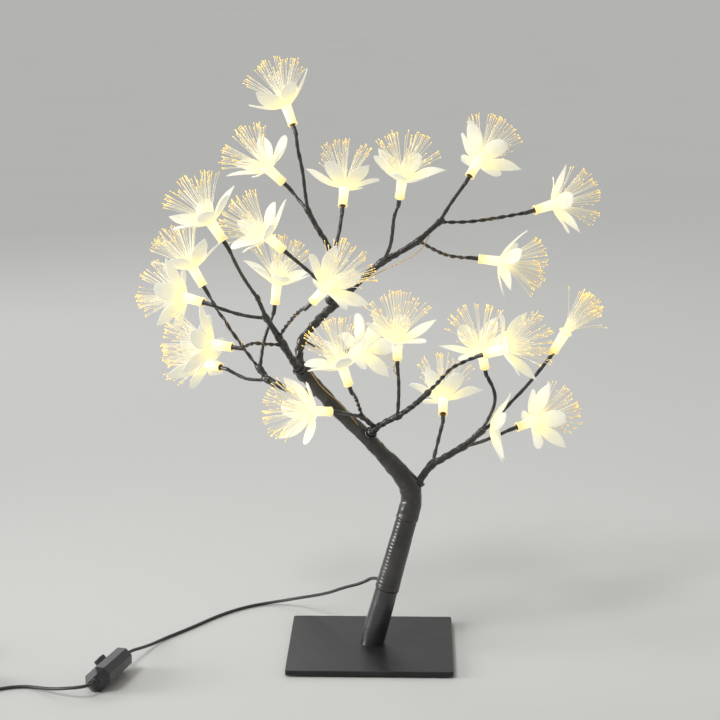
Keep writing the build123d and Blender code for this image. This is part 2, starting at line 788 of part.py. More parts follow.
def make_switch_shells():
    """The top and the bottom shell, in the switch's own frame."""
    outer = chamfer(Box(SWITCH_LENGTH, SWITCH_WIDTH, SWITCH_THICK).edges(), SWITCH_CHAMFER)
    wall = 2 * SWITCH_WALL
    cavity = Box(SWITCH_LENGTH - wall, SWITCH_WIDTH - wall, SWITCH_THICK - wall)
    cavity = chamfer(cavity.edges(), SWITCH_CHAMFER - SWITCH_WALL * (2 - math.sqrt(2)))
    shell = outer - cavity
    neck = cord_bore + RELIEF_NECK + CORD_PLAY
    shell -= Rot(0, 90, 0) * Cylinder(neck, SWITCH_LENGTH)
    half = Box(2 * CUT, 2 * CUT, CUT, align=FOOTED)
    top = shell & half
    bottom = shell - half
    inner_height = SWITCH_THICK / 2 - SWITCH_WALL
    for side in (-1, 1):
        boss = Cylinder(BOSS_RADIUS, inner_height + FIT, align=FOOTED)
        at = Pos(side * BOSS_X, side * BOSS_Y, 0)
        top += at * boss
        bottom += at * Rot(180, 0, 0) * boss
        hole = Cylinder(SHELL_SCREW_RADIUS + CORD_PLAY, SHELL_SCREW_BITE + FIT, align=FOOTED)
        top -= at * hole
        bottom -= at * Cylinder(SHELL_SCREW_RADIUS + 2 * FIT, SWITCH_THICK, align=HANGING)
        head = Cylinder(SHELL_SCREW_HEAD + FIT, SHELL_SCREW_HEAD_HEIGHT + FIT, align=FOOTED)
        bottom -= at * Pos(0, 0, -SWITCH_THICK / 2) * head
        rib = Box(RIB_THICK, BOARD_WIDTH, BOARD_HEIGHT + FIT, align=FOOTED)
        bottom += Pos(side * (BOARD_LENGTH / 2 - RIB_THICK), 0, -inner_height - FIT) * rib
    top -= Cylinder(BUTTON_RADIUS + BUTTON_PLAY, SWITCH_THICK, align=FOOTED)
    return top, bottom


def board_top():
    return -SWITCH_THICK / 2 + SWITCH_WALL + BOARD_HEIGHT + BOARD_THICK


def make_switch_board():
    board = Pos(0, 0, board_top()) * Box(BOARD_LENGTH, BOARD_WIDTH, BOARD_THICK, align=HANGING)
    contact = Box(CONTACT_SIDE, CONTACT_SIDE, CONTACT_HEIGHT, align=FOOTED)
    return board + Pos(0, 0, board_top()) * contact


def button_levels():
    """Heights of the button's top, cavity roof and rim, unpressed."""
    top = SWITCH_THICK / 2 + BUTTON_PROUD
    rim_top = SWITCH_THICK / 2 - SWITCH_WALL - BUTTON_DROP
    return top, top - BUTTON_ROOF, rim_top - BUTTON_RIM_THICK


def make_switch_button():
    top, roof, foot = button_levels()
    button = Pos(0, 0, foot) * Cylinder(BUTTON_RADIUS, top - foot, align=FOOTED)
    button = fillet(button.faces().sort_by(Axis.Z)[-1].edges(), BUTTON_EDGE)
    rim = Cylinder(BUTTON_RADIUS + BUTTON_RIM, BUTTON_RIM_THICK, align=FOOTED)
    button += Pos(0, 0, foot) * rim
    hollow = Cylinder(SPRING_RADIUS + 2 * PLAY, roof - foot, align=FOOTED)
    return button - Pos(0, 0, foot) * hollow


def make_switch_spring():
    _, roof, _ = button_levels()
    foot = board_top() + CONTACT_HEIGHT
    height = roof - BUTTON_TRAVEL - PLAY - foot
    spring = Cylinder(SPRING_RADIUS, height, align=FOOTED)
    spring -= Cylinder(SPRING_RADIUS - SPRING_WALL, height, align=FOOTED)
    return Pos(0, 0, foot) * spring


def make_shell_screws():
    screws = []
    for side in (-1, 1):
        bottom = -SWITCH_THICK / 2
        screw = Pos(0, 0, bottom) * Cylinder(
            SHELL_SCREW_HEAD, SHELL_SCREW_HEAD_HEIGHT, align=FOOTED
        )
        length = SWITCH_THICK / 2 + SHELL_SCREW_BITE
        screw += Pos(0, 0, bottom) * Cylinder(SHELL_SCREW_RADIUS, length, align=FOOTED)
        screws.append(Pos(side * BOSS_X, side * BOSS_Y, 0) * screw)
    return screws


def make_relief(length):
    """A strain relief on +Z, its wall groove at the end wall of the switch."""
    neck = cord_bore + RELIEF_NECK
    end = SWITCH_LENGTH / 2
    collar = neck + 2 * FIT + 0.2
    inner = end - SWITCH_WALL - CORD_PLAY
    outer = end + CORD_PLAY
    return turned([
        (cord_bore, inner - RELIEF_COLLAR_THICK),
        (collar, inner - RELIEF_COLLAR_THICK),
        (collar, inner),
        (neck, inner),
        (neck, outer),
        (cord_bore + RELIEF_FLARE, outer),
        (neck, outer + length),
        (cord_bore, outer + length),
    ])


# ---------------------------------------------------------------- plug


def make_plug():
    """Overmould, metal shell, tongue and contacts, along +Y from the rear end of the relief."""
    body = Box(PLUG_WIDTH, PLUG_THICK, PLUG_LENGTH, align=FOOTED)
    body = Pos(0, 0, PLUG_RELIEF) * fillet(body.edges(), PLUG_EDGE)
    flare = cord_bore + PLUG_RELIEF_FLARE
    body += Cone(cord_bore + RELIEF_NECK, flare, PLUG_RELIEF + PLUG_EDGE, align=FOOTED)
    body -= Cylinder(cord_bore, PLUG_RELIEF, align=FOOTED)
    front = PLUG_RELIEF + PLUG_LENGTH
    pocket = Box(
        PLUG_SHELL_WIDTH + FIT, PLUG_SHELL_THICK + FIT, PLUG_SHELL_SEAT + FIT, align=HANGING
    )
    body -= Pos(0, 0, front) * pocket
    rear = front - PLUG_SHELL_SEAT
    length = PLUG_SHELL_SEAT + PLUG_SHELL_REACH
    inner_width = PLUG_SHELL_WIDTH - 2 * PLUG_SHELL_WALL
    inner_thick = PLUG_SHELL_THICK - 2 * PLUG_SHELL_WALL
    shell = Box(PLUG_SHELL_WIDTH, PLUG_SHELL_THICK, length, align=FOOTED)
    shell -= Box(inner_width, inner_thick, length, align=FOOTED)
    block = Box(inner_width - FIT, inner_thick - FIT, PLUG_BLOCK, align=FOOTED)
    tongue_y = (inner_thick - FIT - TONGUE_THICK) / 2
    tongue = Box(inner_width - 2 * FIT, TONGUE_THICK, length - PLAY, align=FOOTED)
    tongue = block + Pos(0, tongue_y, 0) * tongue
    pad_y = tongue_y - TONGUE_THICK / 2 - CONTACT_PAD_THICK / 2
    pad = Box(CONTACT_PAD_WIDTH, CONTACT_PAD_THICK, CONTACT_PAD_LENGTH, align=FOOTED)
    pads = [Pos((k - 1.5) * CONTACT_PITCH, pad_y, length / 2) * pad for k in range(4)]
    seat = Pos(0, 0, rear)
    pieces = [body, seat * shell, seat * tongue, [seat * p for p in pads]]
    place = Plane(
        origin=(PLUG_X, PLUG_REAR, PLUG_THICK / 2), x_dir=(1, 0, 0), z_dir=(0, 1, 0)
    ).location
    return [[place * p for p in piece] if isinstance(piece, list) else place * piece
            for piece in pieces]


# ---------------------------------------------------------------- write all nodes


os.makedirs("parts", exist_ok=True)

save("base_plate", make_base_plate())
save("base_pad", make_base_pad())
save("foot_screw", make_foot_screw())
save("trunk_foot", make_trunk_foot())
save("trunk_tube", make_trunk_tube())
save("trunk_armature", make_armature())
save("lead_harness", make_harness())
save("trunk_wrap", make_trunk_wrap([root_of(bough) for bough in TRUNK_BOUGHS.values()]))
save("cord_grommet", make_grommet())

shared_pieces = (make_sleeve(), make_led(), make_tuft(), make_whorl())
crown_root, crown_way = root_of(CROWN_BOUGH)
for bough_name, bough_data in TRUNK_BOUGHS.items():
    bough_stems = make_stems(bough_data, BALL_RADIUS)
    if bough_name == "centre":
        bough_stems += make_cup(crown_root, crown_way, CROWN_BALL_RADIUS, CROWN_CUP_WALL)
        bough_stems -= ball(crown_root, CROWN_BALL_RADIUS + PLAY)
    save_bough(bough_name, bough_data, bough_stems, shared_pieces)
save_bough("crown", CROWN_BOUGH, make_stems(CROWN_BOUGH, CROWN_BALL_RADIUS), shared_pieces)
save("slipped_petals", slipped_place() * shared_pieces[3])

save("cord_to_switch", rod(cord_in_route(), CORD_RADIUS))
save("cord_to_coil", rod(cord_out_route(), CORD_RADIUS))
save("cord_to_plug", rod(cord_plug_route(), CORD_RADIUS))
save("cord_coil", make_coil())
save("coil_tie", make_tie())
print_cord()

switch_at = switch_frame().location
switch_top, switch_bottom = make_switch_shells()
save("switch_top_shell", switch_at * switch_top)
save("switch_bottom_shell", switch_at * switch_bottom)
save("switch_board", switch_at * make_switch_board())
save("switch_button", switch_at * make_switch_button())
save("switch_spring", switch_at * make_switch_spring())
save("switch_screws", *[switch_at * screw for screw in make_shell_screws()])
save(
    "switch_strain_reliefs",
    switch_at * Rot(0, 90, 0) * make_relief(RELIEF_OUT_LENGTH),
    switch_at * Rot(0, -90, 0) * make_relief(RELIEF_IN_LENGTH),
)

plug_body, plug_shell, plug_tongue, plug_contacts = make_plug()
save("plug_body", plug_body)
save("plug_shell", plug_shell)
save("plug_tongue", plug_tongue)
save("plug_contacts", *plug_contacts)

for bough_name, bough_data in {**TRUNK_BOUGHS, "crown": CROWN_BOUGH}.items():
    root, _ = root_of(bough_data)
    print(f"root of {bough_name}: {root.X:.1f} {root.Y:.1f} {root.Z:.1f}")
button_axis = switch_frame().z_dir
print(f"button axis: {button_axis.X:.4f} {button_axis.Y:.4f} {button_axis.Z:.4f}")
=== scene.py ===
"""Looks of the fibre optic tree lamp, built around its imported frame.

Sizes in the tables are millimetres and become metres through MM. X points right, Y away from the
viewer, Z up, and the lamp stands on Z = 0.
"""

import bpy
import math
import random
from mathutils import Matrix, Vector, noise


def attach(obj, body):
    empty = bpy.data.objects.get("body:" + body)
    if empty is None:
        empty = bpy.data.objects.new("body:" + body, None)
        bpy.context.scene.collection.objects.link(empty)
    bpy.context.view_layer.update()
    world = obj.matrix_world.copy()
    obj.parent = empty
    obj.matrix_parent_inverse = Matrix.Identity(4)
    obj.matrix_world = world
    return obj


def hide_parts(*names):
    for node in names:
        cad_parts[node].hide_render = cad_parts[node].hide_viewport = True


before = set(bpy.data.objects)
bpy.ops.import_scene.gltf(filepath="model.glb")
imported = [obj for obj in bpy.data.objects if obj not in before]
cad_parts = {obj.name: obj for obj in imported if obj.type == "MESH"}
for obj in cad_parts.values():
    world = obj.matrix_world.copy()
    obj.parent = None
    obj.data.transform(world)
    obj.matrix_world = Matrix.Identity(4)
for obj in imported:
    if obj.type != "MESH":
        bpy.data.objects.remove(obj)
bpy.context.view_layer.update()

MM = 0.001
UP = Vector((0, 0, 1))
REARWARD = Vector((0, 1, 0))

# ------------ sizes and places

CORD_RADIUS = 1.2
LEAN = math.radians(15.0)
ELBOW = Vector((31, 0, 119))
ELBOW_AT = 118.02  # its distance up the leaning tube
TUBE_START = 3.6
TUBE_TOP_GAP = 3.0  # between the tube's top and the elbow
TUBE_RADIUS = 9.0  # at its foot
TUBE_TOP_RADIUS = 6.75
TAPE_START = 43.0
TAPE_OVER_TUBE = 0.55  # height of the tape on the tube
GROMMET_AT = 47.0
GROMMET_SWING = math.radians(134.0)  # from the tube's leaning side to the rear
ELBOW_RADIUS = 7.2
UPPER_TRUNK = [  # point and tape radius
    ((19, 0, 137), 6.3),
    ((5, 0, 152), 5.2),
    ((-8, 0, 166), 5.0),
    ((-23, 1, 179), 4.8),
    ((-37, 2, 195), 4.8),
    ((-48, 3, 207), 4.8),
]
BALL_RADIUS = 3.2
CROWN_BALL_RADIUS = 2.8
BALL_PLAY = 0.3
CUP_WALL = 1.2
CROWN_CUP_WALL = 1.1
FORK_BALL_RADIUS = 6.2  # the lump of tape from which the upper boughs leave

TWIG_RADIUS = 1.4
SLEEVE_LENGTH = 18.0
SLEEVE_FOOT = 3.2
SLEEVE_MOUTH = 3.8
SLEEVE_BORE = 2.85
FLANGE_RADIUS = 4.9
FLANGE_THICK = 1.0
SLEEVE_SIDES = 28
FERRULE_RADIUS = 2.75
FERRULE_TOP = 18.5
FERRULE_DEPTH = 3.0  # below the mouth, as deep as the bore is drawn
FERRULE_SIDES = 20
TUFT_RADIUS = 2.4
FIBRE_REACH = 32.0
FIBRE_SPREAD = 50.0
HUB_HEIGHT = 15.3
HUB_BORE = 4.2
HUB_WIDTH = 3.4
PETAL_OPENING = 62.0
HUB_SIDES = 36
LONG_PETAL = (28.0, 13.2)  # reach from the axis, and width
SHORT_PETAL = (24.5, 12.8)
PETAL_ROOT = 0.4  # share of the hub's width at which a petal starts
PETAL_ROWS = 15
PETAL_COLUMNS = 10
PETAL_THICK = 0.42

SWITCH_CENTRE = Vector((-183.5, -72, 9.19))
SWITCH_HEADING = Vector((-0.25, -0.97, 0)).normalized()
COIL_CENTRE = Vector((-286, -84, 0))
COIL_INNER = 11.25  # radius of its innermost turns
COIL_FLOOR = 1.85  # height of the cord's middle in its lowest turns
COIL_COLUMNS = 3
COIL_LAYERS = 4
COIL_TURNS = 11.25
COIL_TURN_POINTS = 16
COIL_CROSSING = 0.25  # last share of a turn, in which the cord crosses to the next
PLUG_X = -302.0

# name: foot, mouth, and the turn and two leans of its petal whorl in degrees, None without one
FLOWERS = {
    "f1": ((-55, 0, 386), (-61, 8, 401), (20, 12, 4)),
    "f2": ((-63, 12, 344), (-75, 7, 356), (30, 4, 12)),
    "f3": ((-21, 20, 326), (-20, 31, 340), (10, -3, 10)),
    "f4": ((20, -20, 338), (22, -28, 353), (115, 9, 9)),
    "f5": ((69, 10, 349), (77, 21, 361), (89, 0, -8)),
    "f6": ((116, 30, 322), (132, 37, 326), (100, -11, -5)),
    "f7": ((77, 46, 284), (95, 45, 282), (90, 6, -8)),
    "f8": ((130, 0, 225), (138, -4, 240), None),
    "f9": ((-98, -76, 316), (-108, -75, 331), (8, 12, 4)),
    "f10": ((-124, 45, 263), (-133, 47, 278), (51, -10, 8)),
    "f11": ((-117, -25, 264), (-133, -18, 267), (86, 5, -11)),
    "f12": ((-94, -62, 240), (-111, -56, 241), (85, 6, 2)),
    "f13": ((-112, 45, 202), (-126, 57, 203), (94, -6, 11)),
    "f14": ((-61, -22, 301), (-73, -26, 312), (69, 5, 5)),
    "f15": ((-71, 35, 252), (-69, 33, 269), (110, 7, 0)),
    "f16": ((-38, -84, 276), (-26, -89, 289), (53, -9, -5)),
    "f18": ((-14, -70, 216), (-19, -77, 233), (22, -9, 9)),
    "f19": ((19, -40, 228), (19, -47, 245), (20, 7, 10)),
    "f20": ((-16, 62, 212), (-7, 78, 211), (0, -7, 8)),
    "f21": ((52, 30, 171), (52, 44, 181), (62, 0, 12)),
    "f22": ((81, -5, 214), (78, -13, 230), (80, -9, 9)),
    "f23": ((79, -75, 239), (93, -84, 245), (50, 12, -4)),
    "f24": ((106, 32, 161), (122, 40, 165), (107, 11, -5)),
    "f26": ((-27, -50, 192), (-42, -60, 195), (2, 3, -2)),
}

# Each bough: limbs as (radius, points) from its root ball, twigs as flower: points up to its sleeve
BOUGHS = {
    "left": {
        "limbs": [
            (2.8, [(-52, -4, 212), (-57, -9, 221), (-62, -15, 232)]),
            (2.5, [(-62, -15, 232), (-65, -18, 238)]),
            (2.2, [(-65, -18, 238), (-69, -23, 246), (-73, -29, 254)]),
            (1.5, [(-73, -29, 254), (-78, -40, 270)]),
        ],
        "twigs": {
            "f9": [(-78, -40, 270), (-85, -54, 284), (-91, -66, 299)],
            "f12": [(-62, -15, 232), (-71, -25, 234), (-82, -42, 239)],
            "f16": [(-65, -18, 238), (-59, -30, 249), (-52, -50, 260), (-45, -68, 269)],
            "f11": [(-73, -29, 254), (-81, -27, 254), (-93, -26, 256), (-106, -25, 260)],
        },
    },
    "rear_left": {
        "limbs": [
            (2.6, [(-44, 7, 193), (-52, 13, 191), (-64, 20, 192), (-76, 27, 197)]),
            (2.3, [(-76, 27, 197), (-82, 30, 204)]),
        ],
        "twigs": {
            "f10": [(-82, 30, 204), (-92, 34, 216), (-104, 38, 232), (-115, 42, 248)],
            "f13": [(-76, 27, 197), (-90, 33, 195), (-100, 39, 198)],
            "f15": [(-82, 30, 204), (-81, 35, 219), (-76, 36, 235)],
        },
    },
    "centre": {
        "limbs": [
            (3.0, [(-51, 6, 214), (-53.5, 8, 222), (-50, 9, 230)]),
            (2.9, [(-50, 9, 230), (-42, 9, 243), (-26, 8, 257)]),
            (2.6, [(-26, 8, 257), (-19, 7, 263), (-5, 2, 279), (8, -3, 290)]),
            (2.3, [(8, -3, 290), (20, -2, 296), (33, 2, 304)]),
            (2.0, [(33, 2, 304), (40, 4, 310), (48, 6, 317)]),
        ],
        "twigs": {
            "f4": [(8, -3, 290), (13, -8, 299), (15, -13, 311), (16, -18, 325)],
            "f5": [(48, 6, 317), (55, 8, 329)],
            "f6": [(48, 6, 317), (59, 10, 316), (74, 16, 316), (91, 22, 318)],
            "f7": [(33, 2, 304), (42, 14, 297), (52, 26, 290), (64, 37, 286)],
            "f20": [(-50, 9, 230), (-41, 25, 222), (-30, 45, 214)],
        },
    },
    "front": {
        "limbs": [
            (2.6, [(0, -6, 166), (3, -10, 170)]),
            (2.2, [(3, -10, 170), (9, -15, 176), (19, -22, 182)]),
            (1.9, [(19, -22, 182), (31, -32, 192), (40, -43, 204)]),
            (1.8, [(3, -10, 170), (-1, -15, 176), (-6, -20, 181)]),
        ],
        "twigs": {
            "f23": [(40, -43, 204), (49, -53, 216), (57, -61, 227), (67, -68, 233)],
            "f26": [(-6, -20, 181), (-16, -36, 187)],
            "f18": [(-6, -20, 181), (-9, -36, 196), (-12, -54, 207)],
            "f19": [(19, -22, 182), (20, -28, 195), (20, -34, 211)],
        },
    },
    "right": {
        "limbs": [
            (2.8, [(35, 2, 128), (39, 3, 135), (44, 4, 140)]),
            (2.5, [(44, 4, 140), (54, 3, 146), (66, 1, 154)]),
            (2.2, [(66, 1, 154), (73, 0, 160), (79, -1, 166)]),
        ],
        "twigs": {
            "f21": [(44, 4, 140), (47, 10, 150), (50, 20, 160)],
            "f24": [(66, 1, 154), (77, 12, 154), (86, 22, 155), (94, 27, 157)],
            "f22": [(79, -1, 166), (82, -3, 172), (86, -4, 180), (89, -5, 189), (88, -4, 198)],
            "f8": [
                (79, -1, 166), (85, -1, 170), (90, -2, 176), (99, -2, 187), (107, -1, 195),
                (114, 0, 203),
            ],
        },
    },
    "crown": {
        "limbs": [
            (2.2, [(-29, 5, 261), (-27, 4, 270)]),
            (2.0, [(-27, 4, 270), (-26, 4, 281), (-28, 4, 293)]),
            (1.9, [(-28, 4, 293), (-32, 4, 303), (-39, 4, 313), (-45, 4, 325)]),
        ],
        "twigs": {
            "f14": [(-27, 4, 270), (-35, -6, 275), (-46, -16, 287)],
            "f3": [(-28, 4, 293), (-24, 9, 303)],
            "f1": [(-45, 4, 325), (-47, 2, 338), (-48, 1, 352), (-52, 0, 370)],
            "f2": [(-45, 4, 325), (-51, 9, 331)],
        },
    },
}
STRAIGHT_END = 7.0  # of each twig under its sleeve

# The whorl of f8 has slid down its twig
SLIPPED_CENTRE = (85.5, -1.1, 168.8)
SLIPPED_AXIS = (1, 0, -0.04)
SLIPPED_TURN = 92.0

# ------------ camera

LENS = 108.25
SENSOR = 36.0
CAMERA_AT = Vector((31, -1513, 548))
CAMERA_AZIMUTH = math.radians(1.48)
CAMERA_PITCH = math.radians(12.3)


def new_object(name, data):
    """An object in the scene."""
    made = bpy.data.objects.new(name, data)
    bpy.context.scene.collection.objects.link(made)
    return made


def make_camera():
    data = bpy.data.cameras.new("camera")
    data.lens = LENS
    data.sensor_width = SENSOR
    data.clip_start = 0.05
    camera = new_object("camera", data)
    forward = Vector((
        -math.sin(CAMERA_AZIMUTH) * math.cos(CAMERA_PITCH),
        math.cos(CAMERA_AZIMUTH) * math.cos(CAMERA_PITCH),
        -math.sin(CAMERA_PITCH),
    ))
    right = Vector((math.cos(CAMERA_AZIMUTH), math.sin(CAMERA_AZIMUTH), 0))
    turn = Matrix((right, right.cross(forward), -forward)).transposed()
    camera.matrix_world = Matrix.Translation(CAMERA_AT * MM) @ turn.to_4x4()
    bpy.context.scene.camera = camera


make_camera()

# ------------ materials


def new_material(name):
    """A new material and its Principled shader."""
    material = bpy.data.materials.new(name)
    material.use_nodes = True
    shader = material.node_tree.nodes["Principled BSDF"]
    return material, shader


def node(material, kind, **values):
    """A node with some of its sockets or properties set."""
    made = material.node_tree.nodes.new("ShaderNode" + kind)
    for key, value in values.items():
        name = key.replace("_", " ")
        if name in made.inputs:
            made.inputs[name].default_value = value
        else:
            setattr(made, key, value)
    return made


def settle(shader, **values):
    """Sets uniform values on a shader's own sockets."""
    for key, value in values.items():
        shader.inputs[key.replace("_", " ")].default_value = value


def link(source, target):
    source.id_data.links.new(source, target)


def noise_at(material, scale, detail=3.0):
    """A noise in the object's own space."""
    coords = node(material, "TexCoord")
    texture = node(material, "TexNoise", Scale=scale, Detail=detail)
    link(coords.outputs["Object"], texture.inputs["Vector"])
    return texture.outputs["Fac"]


def ramp(material, source, stops):
    """A colour ramp with (place, colour) stops; a number stands for a grey."""
    made = node(material, "ValToRGB")
    elements = made.color_ramp.elements
    elements.remove(elements[1])
    for k, (place, colour) in enumerate(stops):
        if isinstance(colour, (int, float)):
            colour = (colour, colour, colour)
        element = elements.new(place) if k else elements[0]
        element.position = place
        element.color = (*colour, 1)
    link(source, made.inputs["Fac"])
    return made.outputs["Color"]


# Sockets of a Mix node that mixes colours
MIX_FACTOR = 0
MIX_FIRST = 6
MIX_SECOND = 7
MIX_RESULT = 2


def multiplied(material, factor, first, second):
    """The first colour darkened by the second; both are sockets, the factor is a number."""
    made = node(material, "Mix", data_type="RGBA", blend_type="MULTIPLY")
    made.inputs[MIX_FACTOR].default_value = factor
    link(first, made.inputs[MIX_FIRST])
    link(second, made.inputs[MIX_SECOND])
    return made.outputs[MIX_RESULT]


def bumped(material, shader, height, strength, distance):
    made = node(material, "Bump", Strength=strength, Distance=distance)
    link(height, made.inputs["Height"])
    link(made.outputs["Normal"], shader.inputs["Normal"])


def plain(name, colours, roughness, scale, bump=0.1, depth=0.0001, coat=0.0, metal=0.0):
    """A surface whose colour and roughness vary a little, with a fine bump."""
    material, shader = new_material(name)
    field = noise_at(material, scale, 4.0)
    for socket, (low, high) in (("Base Color", colours), ("Roughness", roughness)):
        link(ramp(material, field, [(0.3, low), (0.7, high)]), shader.inputs[socket])
    settle(shader, Coat_Weight=coat, Coat_Roughness=0.15, Metallic=metal)
    bumped(material, shader, noise_at(material, scale * 6, 2.0), bump, depth)
    return material


def along(material):
    """The surface coordinate that runs from the root of a piece, 0, to its tip, 1."""
    return node(material, "Attribute", attribute_name="along").outputs["Fac"]


def glow(shader, colour, strength):
    """Emission of a colour socket; the strength is one number."""
    link(colour, shader.inputs["Emission Color"])
    settle(shader, Emission_Strength=strength)


RIM_SHARE = 0.045  # where the outside of a sleeve begins in its surface coordinate


def sleeve_material():
    """Clear tube, lit by the LED inside: dark amber in its foot, palest in its middle."""
    material, shader = new_material("lit_sleeve")
    reach = along(material)
    # painted light and shade in the colour: the dark amber in the recess inside the foot is painted
    # shade, the warm tint above it is the LED's light
    body = ramp(material, reach, [(0.0, (0.3, 0.14, 0.03)), (0.05, (0.6, 0.5, 0.3)),
                                  (1.0, (0.6, 0.55, 0.4))])
    link(body, shader.inputs["Base Color"])
    light = ramp(material, reach, [(0.0, (0.22, 0.09, 0.01)), (0.02, (0.4, 0.19, 0.02)),
                                   (RIM_SHARE, (1.0, 0.86, 0.42)), (0.1, (0.95, 0.7, 0.2)),
                                   (0.26, (1.0, 0.88, 0.42)), (0.55, (1.0, 0.95, 0.66)),
                                   (0.88, (1.0, 0.92, 0.56)), (1.0, (1.0, 0.8, 0.36))])
    mottle = ramp(material, noise_at(material, 700, 2.0), [(0.3, 0.86), (0.6, 1.0)])
    glow(shader, multiplied(material, 1.0, light, mottle), 0.85)
    settle(shader, Roughness=0.1, Coat_Weight=0.5)
    bumped(material, shader, noise_at(material, 900), 0.15, 0.0002)
    return material


def petal_material():
    """Frosted ivory plastic with fine veins; warm at its root as painted light of the LED, with a
    painted glow over its whole length that is strongest at the root and also lifts its shaded side.
    """
    material, shader = new_material("petal")
    reach = along(material)
    side = node(material, "Attribute", attribute_name="across").outputs["Fac"]
    veins = node(material, "TexWave", wave_type="BANDS", bands_direction="X", Scale=2.6,
                 Distortion=1.4, Detail=2.0)
    spread = node(material, "CombineXYZ")
    link(side, spread.inputs["X"])
    link(reach, spread.inputs["Y"])
    link(spread.outputs["Vector"], veins.inputs["Vector"])
    # painted light: the LED's warm light at the root, painted into the petal's colour
    body = ramp(material, reach, [(0.0, (0.62, 0.56, 0.36)), (0.3, (0.52, 0.5, 0.42)),
                                  (0.6, (0.48, 0.48, 0.43)), (1.0, (0.46, 0.46, 0.43))])
    frosted = multiplied(material, 0.14, body, veins.outputs["Color"])
    patches = ramp(material, noise_at(material, 160), [(0.35, 0.9), (0.65, 1.0)])
    link(multiplied(material, 1.0, frosted, patches), shader.inputs["Base Color"])
    # painted glow of the LED's light; it reaches the tips and also lifts the shaded side
    light = ramp(material, reach, [(0.0, (1.0, 0.86, 0.4)), (0.15, (0.84, 0.74, 0.38)),
                                   (0.35, (0.62, 0.58, 0.4)), (0.65, (0.54, 0.52, 0.41)),
                                   (1.0, (0.48, 0.47, 0.4))])
    glow(shader, light, 0.93)
    settle(shader, Roughness=0.42)
    bumped(material, shader, veins.outputs["Fac"], 0.12, 0.0003)
    return material


def fibre_material():
    """Clear fibres: lit at the root, silvery along their length, golden at the tip; the warm root
    and the golden tip are painted into their colour as well as glowing.
    """
    material, shader = new_material("fibre")
    reach = along(material)
    # painted light: the warm root and the golden tip are the LED's light, painted into the colour
    body = ramp(material, reach, [(0.0, (0.9, 0.8, 0.5)), (0.3, (0.8, 0.78, 0.68)),
                                  (0.85, (0.76, 0.72, 0.58)), (1.0, (0.85, 0.58, 0.2))])
    link(body, shader.inputs["Base Color"])
    light = ramp(material, reach, [(0.0, (1.0, 0.82, 0.42)), (0.18, (0.5, 0.42, 0.24)),
                                   (0.45, (0.2, 0.18, 0.13)), (0.86, (0.16, 0.13, 0.07)),
                                   (1.0, (0.75, 0.5, 0.08))])
    glow(shader, light, 0.85)
    settle(shader, Roughness=0.15)
    return material


def tip_material():
    """The cut ends of the fibres, which give the light off."""
    material, shader = new_material("fibre_tip")
    field = noise_at(material, 300)
    light = ramp(material, field, [(0.35, (1.0, 0.62, 0.08)), (0.65, (1.0, 0.8, 0.26))])
    link(light, shader.inputs["Base Color"])
    glow(shader, light, 0.9)
    settle(shader, Roughness=0.3)
    return material


def led_material():
    material, shader = new_material("led")
    field = noise_at(material, 400)
    light = ramp(material, field, [(0.3, (1.0, 0.9, 0.5)), (0.7, (1.0, 0.95, 0.7))])
    link(light, shader.inputs["Base Color"])
    glow(shader, light, 1.2)
    return material


def wire_material():
    """Black tape and sleeving over wires: glossy, with dark bronze streaks in its colour that are
    painted glints of warm light.
    """
    material, shader = new_material("bough_wire")
    glint_noise = noise_at(material, 220, 4.0)
    # painted glints: where the noise is high the black turns dark bronze, as warm light caught on
    # the wires
    body = ramp(material, glint_noise, [(0.35, (0.01, 0.01, 0.01)), (0.58, (0.026, 0.025, 0.024)),
                                    (0.76, (0.06, 0.05, 0.038))])
    link(body, shader.inputs["Base Color"])
    link(ramp(material, glint_noise, [(0.3, 0.22), (0.7, 0.42)]), shader.inputs["Roughness"])
    settle(shader, Coat_Weight=0.35, Coat_Roughness=0.16)
    bumped(material, shader, noise_at(material, 1100, 3.0), 0.3, 0.0003)
    return material


paint = plain("base_paint", [(0.008, 0.009, 0.009), (0.014, 0.015, 0.015)], (0.3, 0.42), 60,
              bump=0.12)
settle(paint.node_tree.nodes["Principled BSDF"], Specular_IOR_Level=0.32)
tube_paint = plain("tube_paint", [(0.014, 0.014, 0.015), (0.026, 0.027, 0.028)], (0.26, 0.38),
                   90, bump=0.2, coat=0.4)
foam = plain("base_foam", [0.02, 0.035], (0.85, 0.95), 400, bump=0.6, depth=0.0003)
tape = plain("trunk_tape", [(0.016, 0.015, 0.014), (0.036, 0.034, 0.031)], (0.28, 0.42), 90,
             bump=0.25, depth=0.0002, coat=0.25)
sleeving = wire_material()
lit_sleeve = sleeve_material()
petal = petal_material()
fibre = fibre_material()
fibre_tip = tip_material()
led = led_material()
# gold-coloured wire: the gold is partly the wire's own colour and partly a painted glint of the
# lamp's warm light
gold_wire_glint = plain("gold_wire_glint", [(0.5, 0.3, 0.08), (0.7, 0.45, 0.14)], (0.25, 0.4), 300, metal=1.0)
jacket = plain("cord_jacket", [0.016, 0.028], (0.38, 0.5), 150, bump=0.2)
rubber = plain("rubber", [0.02, 0.03], (0.6, 0.75), 300, bump=0.3)
switch_shell = plain("switch_shell", [(0.014, 0.014, 0.015), (0.022, 0.022, 0.024)],
                     (0.26, 0.36), 120, bump=0.25)
button_plastic = plain("button", [(0.02, 0.02, 0.021), (0.03, 0.03, 0.031)], (0.2, 0.3), 150)
steel = plain("steel", [0.5, 0.62], (0.3, 0.42), 300, metal=1.0)
plated = plain("plated_steel", [(0.62, 0.62, 0.61), (0.7, 0.7, 0.69)], (0.18, 0.28), 200, metal=1.0)
core = plain("plug_core", [(0.78, 0.78, 0.76), (0.85, 0.85, 0.83)], (0.4, 0.5), 300)
gold = plain("contact_gold", [(0.8, 0.56, 0.2), (0.88, 0.66, 0.28)], (0.2, 0.3), 400, metal=1.0)
